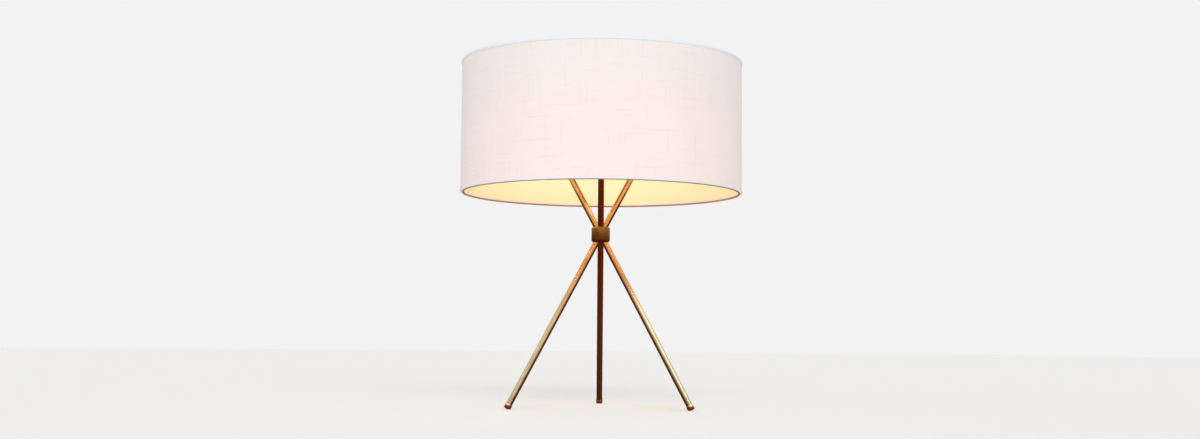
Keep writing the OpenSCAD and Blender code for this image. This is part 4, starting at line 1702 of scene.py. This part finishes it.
@dataclass
class Bulb:
    """The frosted bulb with its threaded base."""

    wall: float = 0.8 * MM
    neck: float = 12 * MM
    flare: float = 30 * MM
    thread_depth: float = 0.7 * MM
    thread_pitch: float = 3.63 * MM
    thread_points: int = 10
    # Turns of thread below the base's foot and beyond its height, cut off afterwards.
    thread_start: float = 1.5
    thread_spare: int = 2
    thread_merge: float = 0.01 * MM
    base_wall: float = 0.8 * MM
    flare_steps: int = 16
    globe_steps: int = 40
    sides: int = 96

    def build(self, shop: Workshop) -> None:
        """Makes the bulb's pieces.

        Args:
            shop: The workshop.
        """
        self._envelope(shop)
        self._thread(shop)
        self._dish(shop)
        for node, slot in (
            ("bulb_stem", "bulb_clear"), ("bulb_filament", "filament_metal"),
            ("bulb_insulator", "base_glass"), ("bulb_tip", "base_metal"),
        ):
            shop.refine(node, "bulb", slot)

    def _outline(self, inset: float, h: float, globe: float) -> list[Point]:
        """Lists the glass's outline from its neck up to its top.

        Args:
            inset: How far the outline is drawn in.
            h: The glass's height.
            globe: The globe's radius.

        Returns:
            The points.
        """
        middle = h - globe
        across = self.neck + self.flare
        drop = math.sqrt((globe + self.flare) ** 2 - across ** 2)
        meet = math.atan2(drop, -across)
        flare = arc(
            (across, middle - drop), self.flare + inset, math.pi, meet, self.flare_steps
        )
        dome = arc(
            (0, middle), globe - inset, meet - math.pi, math.pi / 2, self.globe_steps
        )
        return [(self.neck - inset, 0.0), *flare, *dome[1:-1], (0.0, h - inset)]

    def _envelope(self, shop: Workshop) -> None:
        """Blows the glass, open at its neck.

        Args:
            shop: The workshop.
        """
        low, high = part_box("bulb_glass")
        h, globe = high.z - low.z, (high.x - low.x) / 2
        inner = self._outline(self.wall, h, globe)
        bm = lathe([*reversed(inner), *self._outline(0.0, h, globe)], self.sides)
        glass = shop.piece(
            bm, "bulb_envelope", "bulb", "bulb_frosted", ("bulb_glass",), lift(low.z)
        )
        glass.visible_shadow = False

    def _throat(self, radius: float) -> float:
        """Gives the radius of the base's inner wall, inside its thread."""
        return radius - self.thread_depth - self.base_wall / 2

    def _thread(self, shop: Workshop) -> None:
        """Rolls the screw base: a helical thread on a thin wall, cut level at both ends.

        Args:
            shop: The workshop.
        """
        low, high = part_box("bulb_base")
        pitch = self.thread_pitch
        foot, top = low.z + self.base_wall, high.z
        turns = math.ceil((top - foot) / pitch) + self.thread_spare
        line = []
        for i in range(turns * self.thread_points + 1):
            wave = (1 - math.cos(FULL_TURN * i / self.thread_points)) / 2
            height = foot - pitch * (self.thread_start - i / self.thread_points)
            line.append((high.x - self.thread_depth * wave, 0, height))
        bm = chain(line)
        sweep(bm, self.sides, rise=pitch / self.sides)
        bmesh.ops.remove_doubles(bm, verts=bm.verts[:], dist=self.thread_merge)
        for height, side in ((foot, -1), (top, 1)):
            bmesh.ops.bisect_plane(
                bm, geom=bm.verts[:] + bm.edges[:] + bm.faces[:], dist=MERGE,
                plane_co=(0, 0, height), plane_no=(0, 0, side), clear_outer=True,
            )
        rims = [e for e in bm.edges if e.is_boundary]
        wall = bmesh.ops.extrude_edge_only(bm, edges=rims)["geom"]
        for vertex in (v for v in wall if isinstance(v, bmesh.types.BMVert)):
            vertex.co.xy = vertex.co.xy.normalized() * self._throat(high.x)
        bmesh.ops.bridge_loops(bm, edges=[e for e in bm.edges if e.is_boundary])
        bmesh.ops.recalc_face_normals(bm, faces=bm.faces[:])
        shop.piece(bm, "bulb_base_thread", "bulb", "base_metal", ("bulb_base",))

    def _dish(self, shop: Workshop) -> None:
        """Spins the plain dish that closes the base under its thread.

        Args:
            shop: The workshop.
        """
        low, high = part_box("bulb_base")
        hole = LAMP_AXIS.nearest("bulb_base")
        t, inner = self.base_wall, self._throat(high.x)
        bm = lathe(
            [
                (hole, 0), (high.x - t, 0), (inner + t / 2, t), (inner, 2 * t),
                (inner - t, 2 * t), (inner - t, t), (hole, t),
            ],
            self.sides, closed=True,
        )
        shop.piece(bm, "bulb_base_dish", "bulb", "base_metal", (), lift(low.z))


@dataclass
class Studio:
    """The floor, the light and the camera."""

    picture_width: float = 1200.0
    focal_pixels: float = 1454.3
    centre_shift: float = 0.8
    sensor: float = 36.0
    distance: float = 2.2512
    height: float = 0.1020
    pitch: float = math.radians(4.781)
    roll: float = math.radians(0.474)
    backdrop: float = 0.888
    clip: float = 50.0
    floor_size: float = 12.0
    floor_sides: int = 96
    key_strength: float = 1.24
    key_warmth: Colour = (1.0, 0.95, 0.87)
    key_heading: Heading = (-0.10, 1.0, -0.42)
    key_angle: float = math.radians(40)
    streak_strength: float = 0.3
    streak_heading: Heading = (-0.45, 0.55, -0.70)
    streak_angle: float = math.radians(14)
    bulb_watts: float = 0.62
    bulb_warmth: Colour = (1.0, 0.72, 0.45)
    bulb_size: float = 23 * MM
    floor_colour: Colour = (0.965, 0.966, 0.970)
    ambient: float = 0.74
    ambient_slope: float = -0.10
    side: tuple[Span, Span] = ((-0.6, 0.35), (0.75, 1.0))
    side_top: Span = (0.45, 0.62)
    mirror: tuple[tuple[float, Colour], ...] = (
        (0.00, (0.12, 0.035, 0.020)),
        (0.50, (0.14, 0.045, 0.025)),
        (0.55, (0.35, 0.25, 0.18)),
        (0.60, (0.75, 0.68, 0.58)),
        (0.72, (1.00, 0.97, 0.90)),
        (0.83, (1.00, 0.98, 0.93)),
        (1.00, (0.80, 0.80, 0.80)),
    )

    def build(self) -> None:
        """Sets up the studio."""
        bpy.context.scene.view_settings.view_transform = "Standard"
        self._camera()
        self._world()
        self._lights(self._floor())

    def _camera(self) -> None:
        """Stands the camera where the photograph was taken."""
        data = bpy.data.cameras.new("camera")
        data.sensor_width = self.sensor
        data.lens = self.sensor * self.focal_pixels / self.picture_width
        data.clip_end = self.clip
        camera = stand_up("camera", data)
        yaw = math.atan(self.centre_shift / self.focal_pixels)
        turn = (
            Matrix.Rotation(yaw, 4, "Z")
            @ Matrix.Rotation(math.pi / 2 + self.pitch, 4, "X")
            @ Matrix.Rotation(self.roll, 4, "Z")
        )
        camera.matrix_world = Matrix.Translation((0, -self.distance, self.height)) @ turn
        bpy.context.scene.camera = camera

    def _world(self) -> None:
        """Lights the scene softly, and gives glossy surfaces a studio to mirror.

        What they mirror is dark and warm below and pale above, and darker on the left.
        """
        world = bpy.data.worlds.new("studio")
        bpy.context.scene.world = world
        world.use_nodes = True
        world.node_tree.nodes.clear()
        w = Wiring(world.node_tree)
        ray = w.add("ShaderNodeLightPath")
        place = w.add("ShaderNodeTexCoord").outputs["Generated"]
        split = w.add("ShaderNodeSeparateXYZ", {0: place})
        across, up = split.outputs[0], split.outputs[2]
        ramp = w.add("ShaderNodeValToRGB", {0: w.math("MULTIPLY_ADD", up, 0.5, 0.5)})
        elements = ramp.color_ramp.elements
        while len(elements) < len(self.mirror):
            elements.new(0.5)
        for element, (position, colour) in zip(elements, self.mirror):
            element.position = position
            element.color = opaque(colour)
        side = w.remap(across, *self.side)
        high = w.remap(up, self.side_top, (0.0, 1.0))
        even = w.add("ShaderNodeMix", {0: high, 2: side, 3: 1.0}, data_type="FLOAT").outputs[0]
        mirror = w.add("ShaderNodeBackground", {"Color": ramp.outputs[0], "Strength": even})
        level = w.math("MULTIPLY_ADD", across, self.ambient_slope, self.ambient)
        soft = w.add("ShaderNodeBackground", {"Color": opaque(WHITE), "Strength": level})
        plain = w.add(
            "ShaderNodeBackground", {"Color": opaque((self.backdrop,) * 3), "Strength": 1.0}
        )
        lit = w.add(
            "ShaderNodeMixShader",
            {0: ray.outputs["Is Glossy Ray"], 1: soft.outputs[0], 2: mirror.outputs[0]},
        )
        mix = w.add(
            "ShaderNodeMixShader",
            {0: ray.outputs["Is Camera Ray"], 1: lit.outputs[0], 2: plain.outputs[0]},
        )
        w.add("ShaderNodeOutputWorld", {"Surface": mix.outputs[0]})

    def _floor(self) -> bpy.types.Object:
        """Lays a plain pale floor.

        Returns:
            The floor.
        """
        bm = bmesh.new()
        bmesh.ops.create_circle(
            bm, cap_ends=True, radius=self.floor_size, segments=self.floor_sides
        )
        floor = stand_up("floor", as_mesh(bm, "floor"))
        material, _, shader = start_material("floor_paint")
        shader.inputs["Base Color"].default_value = opaque(self.floor_colour)
        shader.inputs["Roughness"].default_value = 1.0
        shader.inputs["Specular IOR Level"].default_value = 0.0
        floor.data.materials.append(material)
        floor.visible_glossy = False
        return floor

    def _lights(self, floor: bpy.types.Object) -> None:
        """Hangs the soft key, the light of the metal's streaks and the bulb's own light.

        Args:
            floor: The floor, which the bulb's light leaves out.
        """
        key = self._light("key", "SUN", self.key_strength, self.key_warmth, self.key_heading)
        key.data.angle = self.key_angle
        key.visible_glossy = False
        streak = self._light("streak", "SUN", self.streak_strength, WHITE, self.streak_heading)
        streak.data.angle = self.streak_angle
        streak.visible_diffuse = False
        low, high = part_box("bulb_glass")
        bulb = self._light("bulb_light", "POINT", self.bulb_watts, self.bulb_warmth, DOWN)
        bulb.data.shadow_soft_size = self.bulb_size
        bulb.visible_glossy = False
        bulb.location = (0, 0, high.z - (high.x - low.x) / 2)
        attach(bulb, "bulb")
        unlit = bpy.data.collections.new("not_lit_by_bulb")
        unlit.objects.link(floor)
        bulb.light_linking.receiver_collection = unlit
        unlit.collection_objects[0].light_linking.link_state = "EXCLUDE"

    @staticmethod
    def _light(
        name: str, kind: str, strength: float, colour: Colour, heading: Heading
    ) -> bpy.types.Object:
        """Hangs a light.

        Args:
            name: The light's name.
            kind: Its Blender type.
            strength: Its strength.
            colour: Its colour.
            heading: The direction in which it shines.

        Returns:
            The light's object.
        """
        data = bpy.data.lights.new(name, kind)
        data.energy = strength
        data.color = colour
        light = stand_up(name, data)
        turn = Vector(heading).to_track_quat("-Z", "Y")
        light.matrix_world = turn.to_matrix().to_4x4()
        return light


def main() -> None:
    """Builds the lamp and the studio."""
    logging.basicConfig(level=logging.INFO, format="%(message)s")
    shop = Workshop(Finishes())
    Studio().build()
    for part in (Stand(), Holder(), Harp(), Bulb(), Shade()):
        part.build(shop)
    LOG.info("%d new pieces", len(shop.made))


if __name__ == "__main__":
    main()
